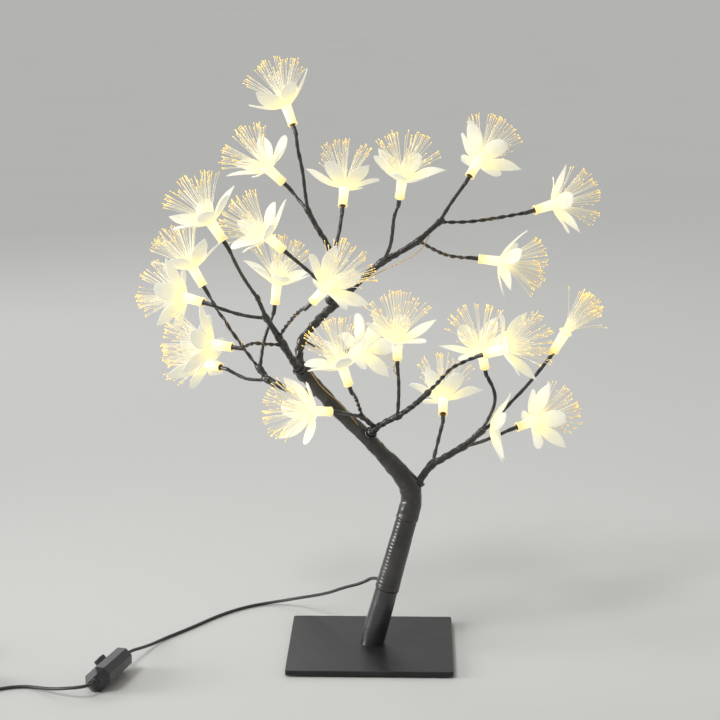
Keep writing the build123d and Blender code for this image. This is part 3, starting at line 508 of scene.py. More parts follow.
board = plain("board", [(0.01, 0.12, 0.05), (0.02, 0.18, 0.07)], (0.35, 0.5), 300)
lead = plain("lead_jacket", [(0.35, 0.22, 0.06), (0.5, 0.34, 0.1)], (0.35, 0.5), 300)


def dress(cad_node, material, bevel=0.0):
    """Gives a CAD node that stays in view its material, and a fine round on its edges."""
    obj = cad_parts[cad_node]
    obj.data.materials.clear()
    obj.data.materials.append(material)
    if bevel:
        modifier = obj.modifiers.new("edge", "BEVEL")
        modifier.width = bevel * MM
        modifier.segments = 2
        modifier.limit_method = "ANGLE"
        modifier.angle_limit = math.radians(30)


# ------------ mesh helpers


class Shape:
    """Vertices, faces and surface coordinates of one piece, gathered in millimetres."""

    def __init__(self):
        self.verts = []
        self.faces = []
        self.slots = []
        self.along = []
        self.across = []

    def grid(self, rows, reach, sides=None, closed=True, slot=0):
        """Joins rows of points, as rings or as open strips, and returns its first vertex."""
        first = len(self.verts)
        width = len(rows[0])
        for k, row in enumerate(rows):
            for i, point in enumerate(row):
                self.verts.append(point)
                self.along.append(reach[k])
                self.across.append(sides[i] if sides else i / width)
        for k in range(len(rows) - 1):
            for i in range(width if closed else width - 1):
                a = first + k * width + i
                b = first + k * width + (i + 1) % width
                self.faces.append((a, b, b + width, a + width))
                self.slots.append(slot)
        return first

    def cap(self, first, count, flip):
        corners = range(first, first + count)
        self.faces.append(tuple(reversed(corners) if flip else corners))
        self.slots.append(self.slots[-1])

    def tube(self, path, radii, sides, slot=0, profile=None):
        """A closed round tube along a path; profile(k, angle) scales its radius."""
        rows = []
        for k, (point, cross) in enumerate(zip(path, carried_frames(path))):
            row = []
            for i in range(sides):
                a = 2 * math.pi * i / sides
                row.append(beside(point, cross, a, radii[k] * (profile(k, a) if profile else 1)))
            rows.append(row)
        last = len(path) - 1
        first = self.grid(rows, [k / last for k in range(last + 1)], slot=slot)
        self.cap(first, sides, True)
        self.cap(first + last * sides, sides, False)

    def make(self, name, materials, body, slot, replaces=()):
        mesh = bpy.data.meshes.new(name)
        mesh.from_pydata([v * MM for v in self.verts], [], self.faces)
        for material in materials:
            mesh.materials.append(material)
        mesh.polygons.foreach_set("material_index", self.slots)
        mesh.polygons.foreach_set("use_smooth", [True] * len(self.faces))
        for key, values in (("along", self.along), ("across", self.across)):
            attribute = mesh.attributes.new(key, "FLOAT", "POINT")
            attribute.data.foreach_set("value", values)
        mesh.update()
        obj = new_object(name, mesh)
        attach(obj, body)
        if replaces:
            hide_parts(*replaces)
        return obj


def beside(point, cross, angle, distance):
    """A point beside a path, at an angle between the two cross directions."""
    u, v = cross
    return point + (u * math.cos(angle) + v * math.sin(angle)) * distance


def carried_frames(path):
    """Two cross directions at each point, carried along the path without twist."""
    tangents = []
    for k in range(len(path)):
        before = path[max(k - 1, 0)]
        after = path[min(k + 1, len(path) - 1)]
        tangents.append((after - before).normalized())
    helper = UP if abs(tangents[0].z) < 0.9 else Vector((1, 0, 0))
    u = tangents[0].cross(helper).normalized()
    frames = []
    for tangent in tangents:
        u = (u - tangent * u.dot(tangent)).normalized()
        frames.append((u, tangent.cross(u)))
    return frames


def place_of(centre, x, z):
    """A frame at a point, with its X and Z directions."""
    turn = Matrix((x, z.cross(x), z)).transposed()
    return Matrix.Translation(Vector(centre)) @ turn.to_4x4()


def bent(start, bend, end, t):
    """A point of the quadratic curve from start to end, at a share t of it."""
    return start * (1 - t) ** 2 + bend * 2 * t * (1 - t) + end * t * t


def smooth_path(points, step):
    """A quadratic B-spline by its control points, cut about every step, ends kept."""
    points = [Vector(p) for p in points]
    if len(points) == 2:
        points.insert(1, (points[0] + points[1]) / 2)
    joints = [points[0]]
    joints += [(a + b) / 2 for a, b in zip(points[1:-2], points[2:-1])]
    joints.append(points[-1])
    path = []
    for start, bend, end in zip(joints, points[1:-1], joints[1:]):
        count = max(2, round(((bend - start).length + (end - bend).length) / step))
        path += [bent(start, bend, end, k / count) for k in range(count)]
    path.append(points[-1])
    return path


def lengths_along(path):
    total = [0.0]
    for a, b in zip(path, path[1:]):
        total.append(total[-1] + (b - a).length)
    return total


# ------------ cord


def switch_point(distance):
    return SWITCH_CENTRE + SWITCH_HEADING * distance


def lean_axis():
    return Vector((math.sin(LEAN), 0, math.cos(LEAN)))


def up_trunk(distance):
    return ELBOW + lean_axis() * (distance - ELBOW_AT)


def coil_points():
    """The coil's turns: four layers of three turns, in and out again, with short crossings."""
    inward = [COIL_INNER + 2 * CORD_RADIUS * k for k in reversed(range(COIL_COLUMNS))]
    order = (inward + inward[::-1]) * (COIL_LAYERS // 2)
    layers = [COIL_FLOOR + 2 * CORD_RADIUS * k for k in range(COIL_LAYERS)]
    last = int(COIL_TURNS)
    points = []
    for k in range(int(COIL_TURNS * COIL_TURN_POINTS) + 1):
        turn = k // COIL_TURN_POINTS
        part = k / COIL_TURN_POINTS - turn
        blend = max(0.0, (part - 1 + COIL_CROSSING) / COIL_CROSSING) if turn < last else 0.0
        after = min(turn + 1, last)
        radius = order[turn] + (order[after] - order[turn]) * blend
        low = layers[turn // COIL_COLUMNS]
        z = low + (layers[after // COIL_COLUMNS] - low) * blend
        angle = -math.pi / 2 - 2 * math.pi * k / COIL_TURN_POINTS
        points.append(COIL_CENTRE + Vector((radius * math.cos(angle), radius * math.sin(angle), z)))
    return points


def cord_route():
    """The cord's points, from the trunk through the switch and the coil to the plug."""
    start = up_trunk(GROMMET_AT)
    sideways = Vector((math.cos(LEAN), 0, -math.sin(LEAN)))
    out = sideways * math.cos(GROMMET_SWING) + REARWARD * math.sin(GROMMET_SWING)
    route = [start + out * 4, start + out * 15]
    route += [
        (-7, 20, 44.2), (-20, 31, 37.5), (-32, 48, 27.5), (-44, 69, 18), (-57, 86, 10.3),
        (-69, 96, 4.8), (-82, 99, 1.6), (-96, 92, 1.25), (-109, 80, 1.25), (-121, 65, 1.25),
        (-133, 46, 1.25), (-144, 30, 1.25), (-154, 16, 1.3), (-161, 0, 2.6), (-167, -18, 6),
    ]
    route += [switch_point(d) for d in (-39, -22, 0, 22, 31.5)]
    route += [
        (-199.5, -108, 9.3), (-209, -106.5, 8), (-219, -100, 5), (-229, -91.5, 2.4),
        (-240, -85.5, 1.25), (-251, -87.5, 1.25), (-262, -94, 1.4), (-272, -98.5, 1.85),
        (-279, -99.6, 1.85),
    ]
    route += coil_points()
    route += [(-302.2, -79, 9), (-302.4, -66, 7.5), (PLUG_X, -54, 4), (PLUG_X, -40.5, 4)]
    return [Vector(p) for p in route]


def make_cord():
    route = cord_route()
    data = bpy.data.curves.new("cord", "CURVE")
    data.dimensions = "3D"
    spline = data.splines.new("NURBS")
    spline.points.add(len(route) - 1)
    for point, place in zip(spline.points, route):
        point.co = (*(place * MM), 1)
    spline.order_u = 3
    spline.use_endpoint_u = True
    spline.resolution_u = 6
    data.bevel_depth = CORD_RADIUS * MM
    data.bevel_resolution = 3
    data.use_fill_caps = True
    cord = new_object("cord", data)
    data.materials.append(jacket)
    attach(cord, "root")
    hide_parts("cord_to_switch", "cord_to_coil", "cord_to_plug", "cord_coil")


make_cord()

# ------------ flowers


def flower_place(name):
    """A flower's own frame: its foot, with Z along its sleeve and X level."""
    foot, mouth, _ = FLOWERS[name]
    z = (Vector(mouth) - Vector(foot)).normalized()
    return place_of(foot, UP.cross(z).normalized(), z)


def whorl_place(name):
    turn, lean_x, lean_y = (math.radians(v) for v in FLOWERS[name][2])
    lean = Matrix.Rotation(-lean_y, 4, "X") @ Matrix.Rotation(lean_x, 4, "Y")
    return (flower_place(name) @ Matrix.Translation((0, 0, HUB_HEIGHT)) @ lean
            @ Matrix.Rotation(turn, 4, "Z"))


def slipped_place():
    level = place_of(SLIPPED_CENTRE, REARWARD, Vector(SLIPPED_AXIS).normalized())
    return level @ Matrix.Rotation(math.radians(SLIPPED_TURN), 4, "Z")


def ring(place, radius, z, sides):
    row = []
    for i in range(sides):
        a = 2 * math.pi * i / sides
        row.append(place @ Vector((radius * math.cos(a), radius * math.sin(a), z)))
    return row


def add_sleeve(shape, place):
    """The clear sleeve: rolled foot, soft flange and open mouth, by radius and height."""
    top = SLEEVE_LENGTH
    under = top - FLANGE_THICK
    recess = [(1.45, 1.6), (2.2, 1.5), (SLEEVE_FOOT - 0.75, 0.5)]
    outside = [
        (SLEEVE_FOOT - 0.45, 0.0), (SLEEVE_FOOT + 0.05, 0.0), (SLEEVE_FOOT + 0.32, 0.3),
        (SLEEVE_FOOT + 0.34, 0.9), (SLEEVE_FOOT + 0.1, 1.6),
        (SLEEVE_FOOT + 0.13, 5.0), (SLEEVE_FOOT + 0.3, 9.0), (SLEEVE_FOOT + 0.46, 13.0),
        (SLEEVE_MOUTH, under - 0.4), (SLEEVE_MOUTH + 0.2, under - 0.08),
        (FLANGE_RADIUS - 0.25, under), (FLANGE_RADIUS, under + 0.3), (FLANGE_RADIUS, top - 0.3),
        (FLANGE_RADIUS - 0.25, top), (SLEEVE_BORE + 0.2, top), (SLEEVE_BORE, top - 0.3),
        (SLEEVE_BORE, top - FERRULE_DEPTH),
    ]
    rows = [ring(place, r, z, SLEEVE_SIDES) for r, z in recess + outside]
    reach = [0.01 * k for k in range(len(recess))]
    reach += [RIM_SHARE + (1 - RIM_SHARE) * z / top for _, z in outside]
    shape.grid(rows, reach)


def petal_outline(u, pointed):
    """Half width of a petal as a share of its widest, at a share u of its length."""
    if pointed:
        swell = math.sin(math.pi * min(u / 0.98, 1.0)) ** 0.9
        return (0.46 + 0.54 * swell) * (1 - u ** 5) ** 0.8 if u < 1 else 0.0
    return (0.48 + 0.52 * math.sin(math.pi * 0.5 * min(u / 0.55, 1.0))) * math.sqrt(
        max(0.0, 1 - max(0.0, (u - 0.45) / 0.55) ** 2.4))


def add_petal(shape, place, azimuth, size, pointed, rng):
    """One petal: a cupped sheet that leaves the hub and curls a little at its tip."""
    reach, width = size
    opening = math.radians(PETAL_OPENING + rng.uniform(-7, 7))
    curl = rng.uniform(-0.14, 0.18)
    cup = rng.uniform(0.12, 0.24)
    twist = rng.uniform(-0.22, 0.22)
    skew = rng.uniform(-0.06, 0.06)
    start = HUB_BORE + PETAL_ROOT * HUB_WIDTH
    length = (reach - start) / math.sin(math.radians(PETAL_OPENING))
    turn = Matrix.Rotation(azimuth, 4, "Z")
    sides = [-1 + 2 * j / PETAL_COLUMNS for j in range(PETAL_COLUMNS + 1)]
    steps = [i / PETAL_ROWS for i in range(PETAL_ROWS + 1)]
    rows = []
    for step in steps:
        u = 1 - (1 - step) ** 1.35
        half = max(0.02, width / 2 * petal_outline(u, pointed))
        angle = opening + curl * (u * u - 0.3) + 0.18 * (1 - u) ** 3
        r = start + length * u * math.sin(angle)
        z = length * u * math.cos(angle) + PETAL_ROOT * HUB_WIDTH / math.tan(opening)
        across_way = Vector((-math.cos(angle) * math.sin(twist * u), math.cos(twist * u),
                             math.sin(angle) * math.sin(twist * u)))
        normal = Vector((-math.cos(angle), 0, math.sin(angle)))
        row = []
        for s in sides:
            ripple = 0.25 * math.sin(3.0 * s + 5.0 * u + azimuth) * u
            lift = cup * half * s * s * (1 - 0.35 * u) + ripple
            point = Vector((r, 0, z)) + across_way * (s * half + skew * length * u * u)
            row.append(place @ (turn @ (point + normal * lift)))
        rows.append(row)
    shape.grid(rows, steps, sides, closed=False)


def add_whorl(shape, place, seed):
    """Three long and three short petals around a hub ring."""
    rng = random.Random(seed)
    slope = 1 / math.tan(math.radians(PETAL_OPENING))
    for k in range(3):
        for offset, size, pointed in ((60, SHORT_PETAL, False), (0, LONG_PETAL, True)):
            azimuth = math.radians(120 * k + offset + rng.uniform(-5, 5))
            add_petal(shape, place, azimuth, size, pointed, rng)
    radii = [HUB_BORE - 0.1, HUB_BORE + 0.35 * HUB_WIDTH, HUB_BORE + 0.8 * HUB_WIDTH]
    rows = [ring(place, r, slope * (r - HUB_BORE) + 0.1, HUB_SIDES) for r in radii]
    across = [math.sin(2 * math.pi * i / HUB_SIDES) for i in range(HUB_SIDES)]
    shape.grid(rows, [0.0, 0.04, 0.1], across)


FIBRES = 66
FIBRE_RADIUS = 0.2
FIBRE_SIDES = 6
FIBRE_STEPS = 6
BEAD_RADII = (0.32, 0.44)
GOLDEN_ANGLE = math.pi * (3 - math.sqrt(5))
TUFT_LOCKS = 12
TUFT_SPREAD = {"f8": 0.5}  # share of the full spread, where a tuft is pressed together
TUFT_SHIFT = {"f8": Vector((0, -0.42))}  # and bent to one side
STRAYS = {"f8": [(0.1, 1.15), (0.15, -2.0), (-0.2, -1.7)]}  # single fibres beside it


def on_disc(azimuth, share):
    """A point on a disc of radius 1, at a share of its radius."""
    return Vector((share * math.cos(azimuth), share * math.sin(azimuth)))


def fibre_way(way, lean):
    """A direction that leans from the sleeve's axis to a way across it."""
    return Vector((way.x * math.sin(lean), way.y * math.sin(lean), math.cos(lean)))


def add_tuft(shape, name, seed):
    """Thin fibres that fan out of the mouth in loose locks, each with a lit end."""
    rng = random.Random(seed)
    place = flower_place(name)
    spread = math.radians(FIBRE_SPREAD) * TUFT_SPREAD.get(name, 1.0)
    locks = [on_disc(rng.uniform(0, 2 * math.pi), math.sqrt(rng.random()))
             for _ in range(TUFT_LOCKS)]
    shift = TUFT_SHIFT.get(name, Vector((0, 0)))
    strays = STRAYS.get(name, [])
    for k in range(FIBRES):
        azimuth = k * GOLDEN_ANGLE + rng.uniform(-0.12, 0.12)
        flat = on_disc(azimuth, math.sqrt((k + 0.5) / FIBRES))
        lock = min(locks, key=lambda centre: (centre - flat).length)
        aim = flat.lerp(lock, rng.uniform(0.2, 0.7)) + shift
        if k < len(strays):
            aim = Vector(strays[k])
        lean = aim.length * spread * rng.uniform(0.95, 1.06)
        way = aim.normalized() if aim.length > 1e-6 else Vector((1, 0))
        reach = FIBRE_REACH + 0.6 - 1.6 * aim.length + rng.uniform(-1.6, 0.9)
        root = Vector((flat.x * TUFT_RADIUS, flat.y * TUFT_RADIUS, FERRULE_TOP - 0.4))
        tip = Vector((0, 0, FERRULE_TOP)) + fibre_way(way, lean) * reach
        bend = root + fibre_way(way, 0.8 * lean) * 0.5 * reach
        path = [place @ bent(root, bend, tip, i / FIBRE_STEPS) for i in range(FIBRE_STEPS + 1)]
        shape.tube(path, [FIBRE_RADIUS] * len(path), FIBRE_SIDES)
        add_bead(shape, path[-1], (path[-1] - path[-2]).normalized(), rng.uniform(*BEAD_RADII))


def add_bead(shape, centre, way, radius):
    """The lit end of a fibre, about twice as thick as the fibre."""
    profile = [(-1.2, 0.45), (-0.6, 0.85), (0.0, 1.0), (0.6, 0.75), (0.95, 0.25)]
    path = [centre + way * radius * z for z, _ in profile]
    shape.tube(path, [radius * r for _, r in profile], FIBRE_SIDES, slot=1)


def add_ferrule(shape, place):
    """The round end of the fibre bundle in the sleeve's mouth."""
    outline = [(0.05, FERRULE_TOP), (1.6, FERRULE_TOP), (2.5, FERRULE_TOP - 0.15),
               (FERRULE_RADIUS, FERRULE_TOP - 0.5),
               (FERRULE_RADIUS, SLEEVE_LENGTH - FERRULE_DEPTH)]
    shape.grid([ring(place, r, z, FERRULE_SIDES) for r, z in outline], [0.0] * len(outline))


def make_flowers(bough, flowers):
    body = f"{bough}_bough"
    sleeves, whorls, tufts = Shape(), Shape(), Shape()
    for name in flowers:
        seed = int(name[1:])
        place = flower_place(name)
        add_sleeve(sleeves, place)
        if FLOWERS[name][2]:
            add_whorl(whorls, whorl_place(name), seed)
        add_ferrule(tufts, place)
        add_tuft(tufts, name, 100 + seed)
    sleeves.make(f"{bough}_lit_sleeves", [lit_sleeve], body, "clear_sleeve",
                 [f"{bough}_sleeves"])
    thicken(whorls.make(f"{bough}_whorls", [petal], body, "petal", [f"{bough}_petals"]))
    tufts.make(f"{bough}_tufts", [fibre, fibre_tip], body, "fibre", [f"{bough}_fibres"])
    dress(f"{bough}_leds", led)


def thicken(obj):
    """Gives a sheet its thickness, half of it to either side."""
    solid = obj.modifiers.new("thickness", "SOLIDIFY")
    solid.thickness = PETAL_THICK * MM
    solid.offset = 0


for bough_name, bough in BOUGHS.items():
    make_flowers(bough_name, bough["twigs"])

slipped = Shape()
add_whorl(slipped, slipped_place(), seed=8)
thicken(slipped.make("slipped_whorl", [petal], "right_bough", "petal", ["slipped_petals"]))

# ------------ boughs


# Twigs of two twisted wires; the others are taped
TWISTED_TWIGS = ("f6", "f7", "f12", "f16", "f18", "f20", "f23", "f10")
GLINT_RADIUS = 0.2
GLINT_PITCH = 19.0
LOOSE_RADIUS = 0.28
WIRE_STEP = 0.8  # between the rings of a limb's or a twig's tubes
TWIG_END_RADII = [1.1, 1.42, 1.5, 1.5, 1.52, 1.55, 1.58, 1.58]  # of the tape under a sleeve
TWIG_END_STEP = 1.5
LIMB_SIDES = 24
TWIG_SIDES = 16
STRAND_SIDES = 8
KNOT_RISE = 0.45  # of a fork's winding over its limb
KNOT_REACH = 1.7  # half the length of the winding, in its radii
KNOT_STEPS = 8
KNOT_SIDES = 20
BALL_STEPS = 12
BALL_SIDES = 20
# Loose gold-coloured wires that hang beside the tree, their gold partly a painted glint of warm
# light: body and points
LOOSE_WIRES = {
    "trunk_loose_wire": ("root", [
        (-46, -2, 210), (-44.5, -4, 212), (-41, -5.5, 207), (-36, -7, 200), (-29, -8, 194),
        (-22, -8, 188), (-15, -7, 179), (-9, -4.5, 170.5),
    ]),
    "centre_loose_wire": ("centre_bough", [
        (-4, 1, 277.5), (-1, -2, 278.5), (6, -4, 282.5), (14, -4.5, 286.5), (23, -3.5, 290.5),
        (31, -2, 295), (38, 1, 301), (41, 3.5, 308),
    ]),
    "front_loose_wire": ("front_bough", [
        (19, -41, 228), (17, -42.5, 224), (16, -40, 220), (18.5, -38, 216), (20, -35, 212),
    ]),
}


def add_bundle(shape, path, radius, strands, pitch, rng):
    """Wires twisted round each other along a path, about inside a given radius."""
    share = 1 / (1 + 1 / math.sin(math.pi / strands))
    wire = radius * share * 1.06  # thick enough to touch
    off = radius - wire
    frames = carried_frames(path)
    run = lengths_along(path)
    phase = rng.uniform(0, 2 * math.pi)
    for s in range(strands):
        line, radii = [], []
        loose = rng.uniform(0, 50)
        for k, point in enumerate(path):
            a = 2 * math.pi * (run[k] / pitch + s / strands) + phase
            a += 1.2 * noise.noise(Vector((run[k] * 0.05, loose, 0)))
            out = off * (1 + 0.12 * noise.noise(Vector((run[k] * 0.15, 0, loose))))
            line.append(beside(point, frames[k], a, out))
            radii.append(wire * (1 + 0.1 * noise.noise(Vector((loose, run[k] * 0.3, 9)))))
        shape.tube(line, radii, STRAND_SIDES)


def crumple(run, angle, size, seed):
    """Noise on a tube's surface: along it by its run, around it on a circle of a given size."""
    return noise.noise(Vector((run, size * math.cos(angle), size * math.sin(angle) + seed)))


def add_taped_wires(shape, path, radius, lobes, rng, sides):
    """Wires under wound tape: smooth here, with the twisted wires showing through there."""
    run = lengths_along(path)
    seed = rng.uniform(0, 90)
    pitch = rng.uniform(15, 24)
    wound = 5.5 + rng.uniform(-1, 1.5)

    def profile(k, angle):
        d = run[k]
        show = max(0.0, 0.45 + 1.1 * noise.noise(Vector((d * 0.06, seed, 0))))
        lobe = show * math.cos(lobes * (angle - 2 * math.pi * d / pitch) + seed) / (lobes + 4)
        turn = (d / wound - angle / (2 * math.pi)) % 1.0
        seam = 0.09 * (turn if turn < 0.85 else (1 - turn) * 5.6)
        swell = 0.12 * noise.noise(Vector((d * 0.11, 3, seed)))
        crease = 0.07 * crumple(d * 0.45, angle, 1.6, seed)
        return 0.93 + lobe + seam + swell + crease

    shape.tube(path, [radius] * len(path), sides, profile=profile)


def add_glint(shape, path, radius, first, last, rng):
    """One bare gold-coloured wire that winds round a stretch of a twig; its gold is partly the
    wire's own colour and partly a painted glint of warm light.
    """
    frames = carried_frames(path)
    run = lengths_along(path)
    phase = rng.uniform(0, 2 * math.pi)
    line = []
    for k, point in enumerate(path):
        share = run[k] / run[-1]
        if first <= share <= last:
            a = 2 * math.pi * run[k] / GLINT_PITCH + phase
            out = radius * (1.0 if first + 0.06 < share < last - 0.06 else 0.7)
            line.append(beside(point, frames[k], a, out))
    if len(line) > 3:
        shape.tube(line, [GLINT_RADIUS] * len(line), 6, slot=2)


def winding(seed, pitch, step, wrinkle):
    """Height of wound tape: a step at each turn's edge, and small wrinkles."""

    def height(run, angle):
        turn = (run / pitch - angle / (2 * math.pi)) % 1.0
        edge = turn if turn < 0.88 else (1 - turn) * 7.3
        crease = crumple(run * 0.22, angle, 1.6, seed)
        fine = crumple(run * 0.9, angle, 5, seed)
        return step * (edge - 0.5) + wrinkle * (crease + 0.3 * fine)

    return height


def add_tape(shape, path, radii, seed, pitch, step, wrinkle, sides):
    """A tube of wound tape along a path; pitch, step and wrinkle are in millimetres."""
    run = lengths_along(path)
    height = winding(seed, pitch, step, wrinkle)

    def profile(k, angle):
        return 1 + height(run[k], angle) / radii[k]

    shape.tube(path, radii, sides, profile=profile)


def add_knot(shape, centre, before, radius, seed):
    """A short lumpy winding of tape over a fork, rounded towards both ends."""
    way = (centre - before).normalized()
    steps = [k / KNOT_STEPS for k in range(-KNOT_STEPS, KNOT_STEPS + 1)]
    path = [centre + way * KNOT_REACH * radius * step for step in steps]
    radii = [radius * math.sqrt(max(0.25, 1 - (step / 1.1) ** 2)) for step in steps]
    add_tape(shape, path, radii, seed, pitch=3.4, step=0.22, wrinkle=0.4, sides=KNOT_SIDES)


def add_ball(shape, centre, radius):
    """A slightly uneven ball, closed by a small face at each pole."""
    rows = []
    steps = [k / BALL_STEPS for k in range(BALL_STEPS + 1)]
    for step in steps:
        tilt = math.pi * min(max(step, 0.01), 0.99)
        row = []
        for i in range(BALL_SIDES):
            a = 2 * math.pi * i / BALL_SIDES
            way = Vector((math.sin(tilt) * math.cos(a), math.sin(tilt) * math.sin(a),
                          math.cos(tilt)))
            row.append(centre + way * radius * (1 + 0.03 * noise.noise(way * 3 + centre)))
        rows.append(row)
    first = shape.grid(rows, steps)
    shape.cap(first, BALL_SIDES, False)
    shape.cap(first + BALL_STEPS * BALL_SIDES, BALL_SIDES, True)


def make_boughs(name, bough):
    shape = Shape()
    rng = random.Random(len(name) * 7 + 1)
    root = Vector(bough["limbs"][0][1][0])
    add_ball(shape, root, CROWN_BALL_RADIUS if name == "crown" else BALL_RADIUS)
    for radius, points in bough["limbs"]:
        path = smooth_path(points, WIRE_STEP)
        add_taped_wires(shape, path, radius, 3, rng, LIMB_SIDES)
        add_knot(shape, path[-1], path[-5], radius + KNOT_RISE, rng.uniform(0, 99))
    for flower, points in bough["twigs"].items():
        place = flower_place(flower)
        foot = place.translation
        aim = place.to_3x3() @ UP
        under = foot - aim * STRAIGHT_END
        path = smooth_path(points + [under, foot + aim * 0.5], WIRE_STEP)
        if flower in TWISTED_TWIGS:
            add_bundle(shape, path, TWIG_RADIUS, 2, 15.0 + rng.uniform(-3, 5), rng)
            first = rng.uniform(0.1, 0.45)
            add_glint(shape, path, TWIG_RADIUS, first, first + rng.uniform(0.3, 0.45), rng)
        else:
            add_taped_wires(shape, path, 0.92 * TWIG_RADIUS, 2, rng, TWIG_SIDES)
        end = [under + aim * TWIG_END_STEP * (k - 1) for k in range(len(TWIG_END_RADII))]
        shape.tube(end, TWIG_END_RADII, TWIG_SIDES, slot=1)
    shape.make(f"{name}_wires", [sleeving, tape, gold_wire_glint], f"{name}_bough", "bough_tape",
               [f"{name}_stems"])


for bough_name, bough in BOUGHS.items():
    make_boughs(bough_name, bough)

for wire_name, (wire_body, wire_points) in LOOSE_WIRES.items():
    loose_wire = Shape()
    wire_path = smooth_path(wire_points, 1.0)
    loose_wire.tube(wire_path, [LOOSE_RADIUS] * len(wire_path), 8)
    loose_wire.make(wire_name, [gold_wire_glint], wire_body, "lead_jacket")

# ------------ trunk

# Points of the tape on the tube: distance up the tube, and what the tape's radius has more there
CLOSE_TURNS = [
    (TAPE_START, -0.2), (TAPE_START + 1, 0.15), (TAPE_START + 4, 0), (70, 0), (95, 0), (112, 0),
]
BROAD_TURNS = [(98, 0), (99, 0.6), (104, 0.55), (112, 0.35)]
TRUNK_SIDES = 56
CUP_STEPS = 8
CUP_SIDES = 24


def add_cup(shape, bough_name, radius, wall):
    """The half round cup of tape behind a bough's root ball."""
    centre, after = (Vector(p) for p in BOUGHS[bough_name]["limbs"][0][1][:2])
    z = (after - centre).normalized()
    place = place_of(centre, z.cross(REARWARD).normalized(), z)
    inner = radius + BALL_PLAY
    outer = inner + wall
    tilts = [math.pi / 2 * (1 - 0.98 * k / CUP_STEPS) for k in range(CUP_STEPS + 1)]
    outline = [(outer * math.sin(tilt), -outer * math.cos(tilt)) for tilt in reversed(tilts)]
    outline += [(inner * math.sin(tilt), -inner * math.cos(tilt)) for tilt in tilts]
    shape.grid([ring(place, r, z, CUP_SIDES) for r, z in outline], [0.5] * len(outline))


def widths_along(points, radii, path):
    """The radius at each point of a path, eased between the radii of its control points."""
    run = lengths_along(path)
    marks = lengths_along(points)
    widths = []
    for distance in run:
        share = distance / run[-1] * marks[-1]
        k = min(max(i for i, m in enumerate(marks) if m <= share + 1e-6), len(marks) - 2)
        t = (share - marks[k]) / (marks[k + 1] - marks[k])
        t = t * t * (3 - 2 * t)
        widths.append(radii[k] * (1 - t) + radii[k + 1] * t)
    return widths


def tape_radius(distance):
    """The tape's radius on the tapered tube."""
    share = (distance - TUBE_START) / (ELBOW_AT - TUBE_TOP_GAP - TUBE_START)
    return TUBE_RADIUS + (TUBE_TOP_RADIUS - TUBE_RADIUS) * share + TAPE_OVER_TUBE


def make_trunk():
    """Tape wound in close turns up the tube, and in broad ones over the elbow to the fork."""
    shape = Shape()
    points = [up_trunk(d) for d, _ in CLOSE_TURNS] + [ELBOW + Vector((-2, 0, 4))]
    radii = [tape_radius(d) + rise for d, rise in CLOSE_TURNS] + [ELBOW_RADIUS + 0.2]
    path = smooth_path(points, 0.5)
    add_tape(shape, path, widths_along(points, radii, path), 3.0, pitch=2.7, step=0.16,
             wrinkle=0.12, sides=TRUNK_SIDES)
    points = [up_trunk(d) for d, _ in BROAD_TURNS] + [ELBOW + Vector((-3, 0, 7))]
    points += [Vector(p) for p, _ in UPPER_TRUNK]
    radii = [tape_radius(d) + rise for d, rise in BROAD_TURNS] + [ELBOW_RADIUS + 0.4]
    radii += [r + 0.25 for _, r in UPPER_TRUNK]
    path = smooth_path(points, 0.7)
    add_tape(shape, path, widths_along(points, radii, path), 8.0, pitch=11.0, step=0.3,
             wrinkle=0.4, sides=TRUNK_SIDES)
    add_ball(shape, Vector(UPPER_TRUNK[-1][0]), FORK_BALL_RADIUS)
    for name in ("left", "rear_left", "centre", "front", "right"):
        add_cup(shape, name, BALL_RADIUS, CUP_WALL)
    shape.make("trunk_tape", [tape], "root", "trunk_tape", ["trunk_wrap"])


make_trunk()

crown_cup = Shape()
add_cup(crown_cup, "crown", CROWN_BALL_RADIUS, CROWN_CUP_WALL)
crown_cup.make("crown_cup", [sleeving], "centre_bough", "bough_tape")

# ------------ CAD nodes in view

dress("base_plate", paint, 0.25)
dress("base_pad", foam, 0.2)
dress("foot_screw", steel)
dress("trunk_foot", tube_paint, 0.2)
dress("trunk_tube", tube_paint, 0.15)
dress("trunk_armature", steel)
dress("lead_harness", lead)
dress("cord_grommet", rubber, 0.1)
dress("coil_tie", rubber, 0.15)
dress("switch_top_shell", switch_shell, 0.3)
dress("switch_bottom_shell", switch_shell, 0.3)
dress("switch_board", board)
dress("switch_button", button_plastic, 0.1)
dress("switch_spring", steel)
dress("switch_screws", steel, 0.1)
dress("switch_strain_reliefs", rubber, 0.1)
dress("plug_body", switch_shell, 0.3)
dress("plug_shell", plated, 0.08)
dress("plug_tongue", core)
dress("plug_contacts", gold)

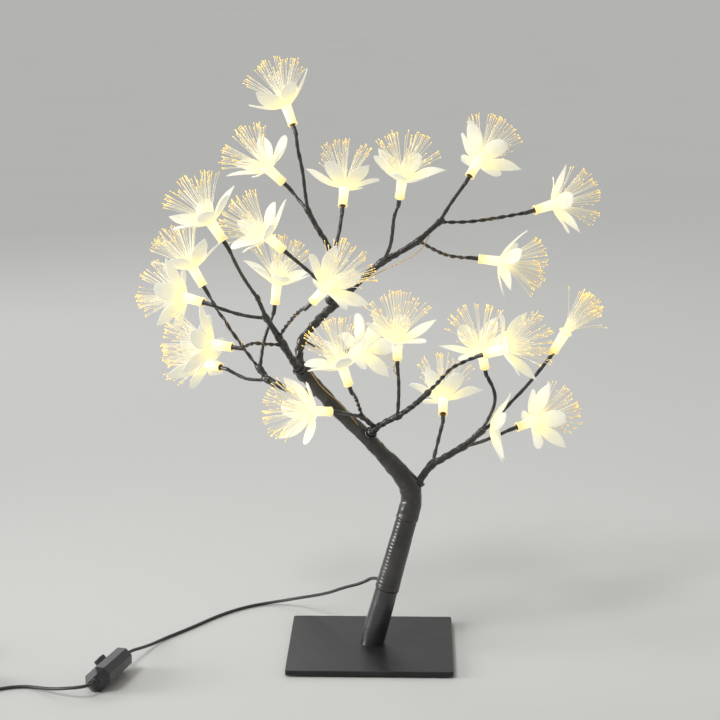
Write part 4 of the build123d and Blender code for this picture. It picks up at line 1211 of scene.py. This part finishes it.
# ------------ stage and light

FLOOR_COLOUR = (0.55, 0.55, 0.54)
FLOOR_HALF = 40.0  # metres


def make_stage():
    corners = [(FLOOR_HALF * x, FLOOR_HALF * y, 0) for x, y in ((-1, -1), (1, -1), (1, 1), (-1, 1))]
    mesh = bpy.data.meshes.new("floor")
    mesh.from_pydata(corners, [], [(0, 1, 2, 3)])
    floor = new_object("floor", mesh)
    material, shader = new_material("floor")
    field = noise_at(material, 3.0)
    low = tuple(c * 0.98 for c in FLOOR_COLOUR)
    link(ramp(material, field, [(0.3, low), (0.7, FLOOR_COLOUR)]), shader.inputs["Base Color"])
    settle(shader, Roughness=0.7, Specular_IOR_Level=0.2)
    mesh.materials.append(material)


def make_world():
    world = bpy.data.worlds.new("studio")
    bpy.context.scene.world = world
    world.use_nodes = True
    background = world.node_tree.nodes["Background"]
    background.inputs["Color"].default_value = (0.5, 0.5, 0.49, 1)
    background.inputs["Strength"].default_value = 1.0


def place_light(name, data, place, target):
    way = Vector(target) - Vector(place)
    turn = way.to_track_quat("-Z", "Y").to_matrix()
    light = new_object(name, data)
    light.matrix_world = Matrix.Translation(Vector(place)) @ turn.to_4x4()


def make_sun(name, place, target, strength, angle):
    data = bpy.data.lights.new(name, "SUN")
    data.energy = strength
    data.angle = math.radians(angle)
    place_light(name, data, place, target)


def make_panel(name, place, target, size, power, spread=180):
    """A soft rectangular lamp, in metres, watts and degrees."""
    data = bpy.data.lights.new(name, "AREA")
    data.shape = "RECTANGLE"
    data.size, data.size_y = size
    data.energy = power
    data.spread = math.radians(spread)
    place_light(name, data, place, target)


make_stage()
make_world()
make_sun("key", place=(-0.7, -0.9, 1.4), target=(0, 0, 0), strength=1.3, angle=16)
make_panel("side", place=(-1.5, -0.2, 0.5), target=(0, 0, 0.16), size=(0.8, 0.7), power=2.2,
           spread=50)
make_panel("rim", place=(-0.5, 1.3, 1.1), target=(0, 0, 0.25), size=(0.8, 0.8), power=5)

bpy.context.scene.view_settings.view_transform = "Standard"
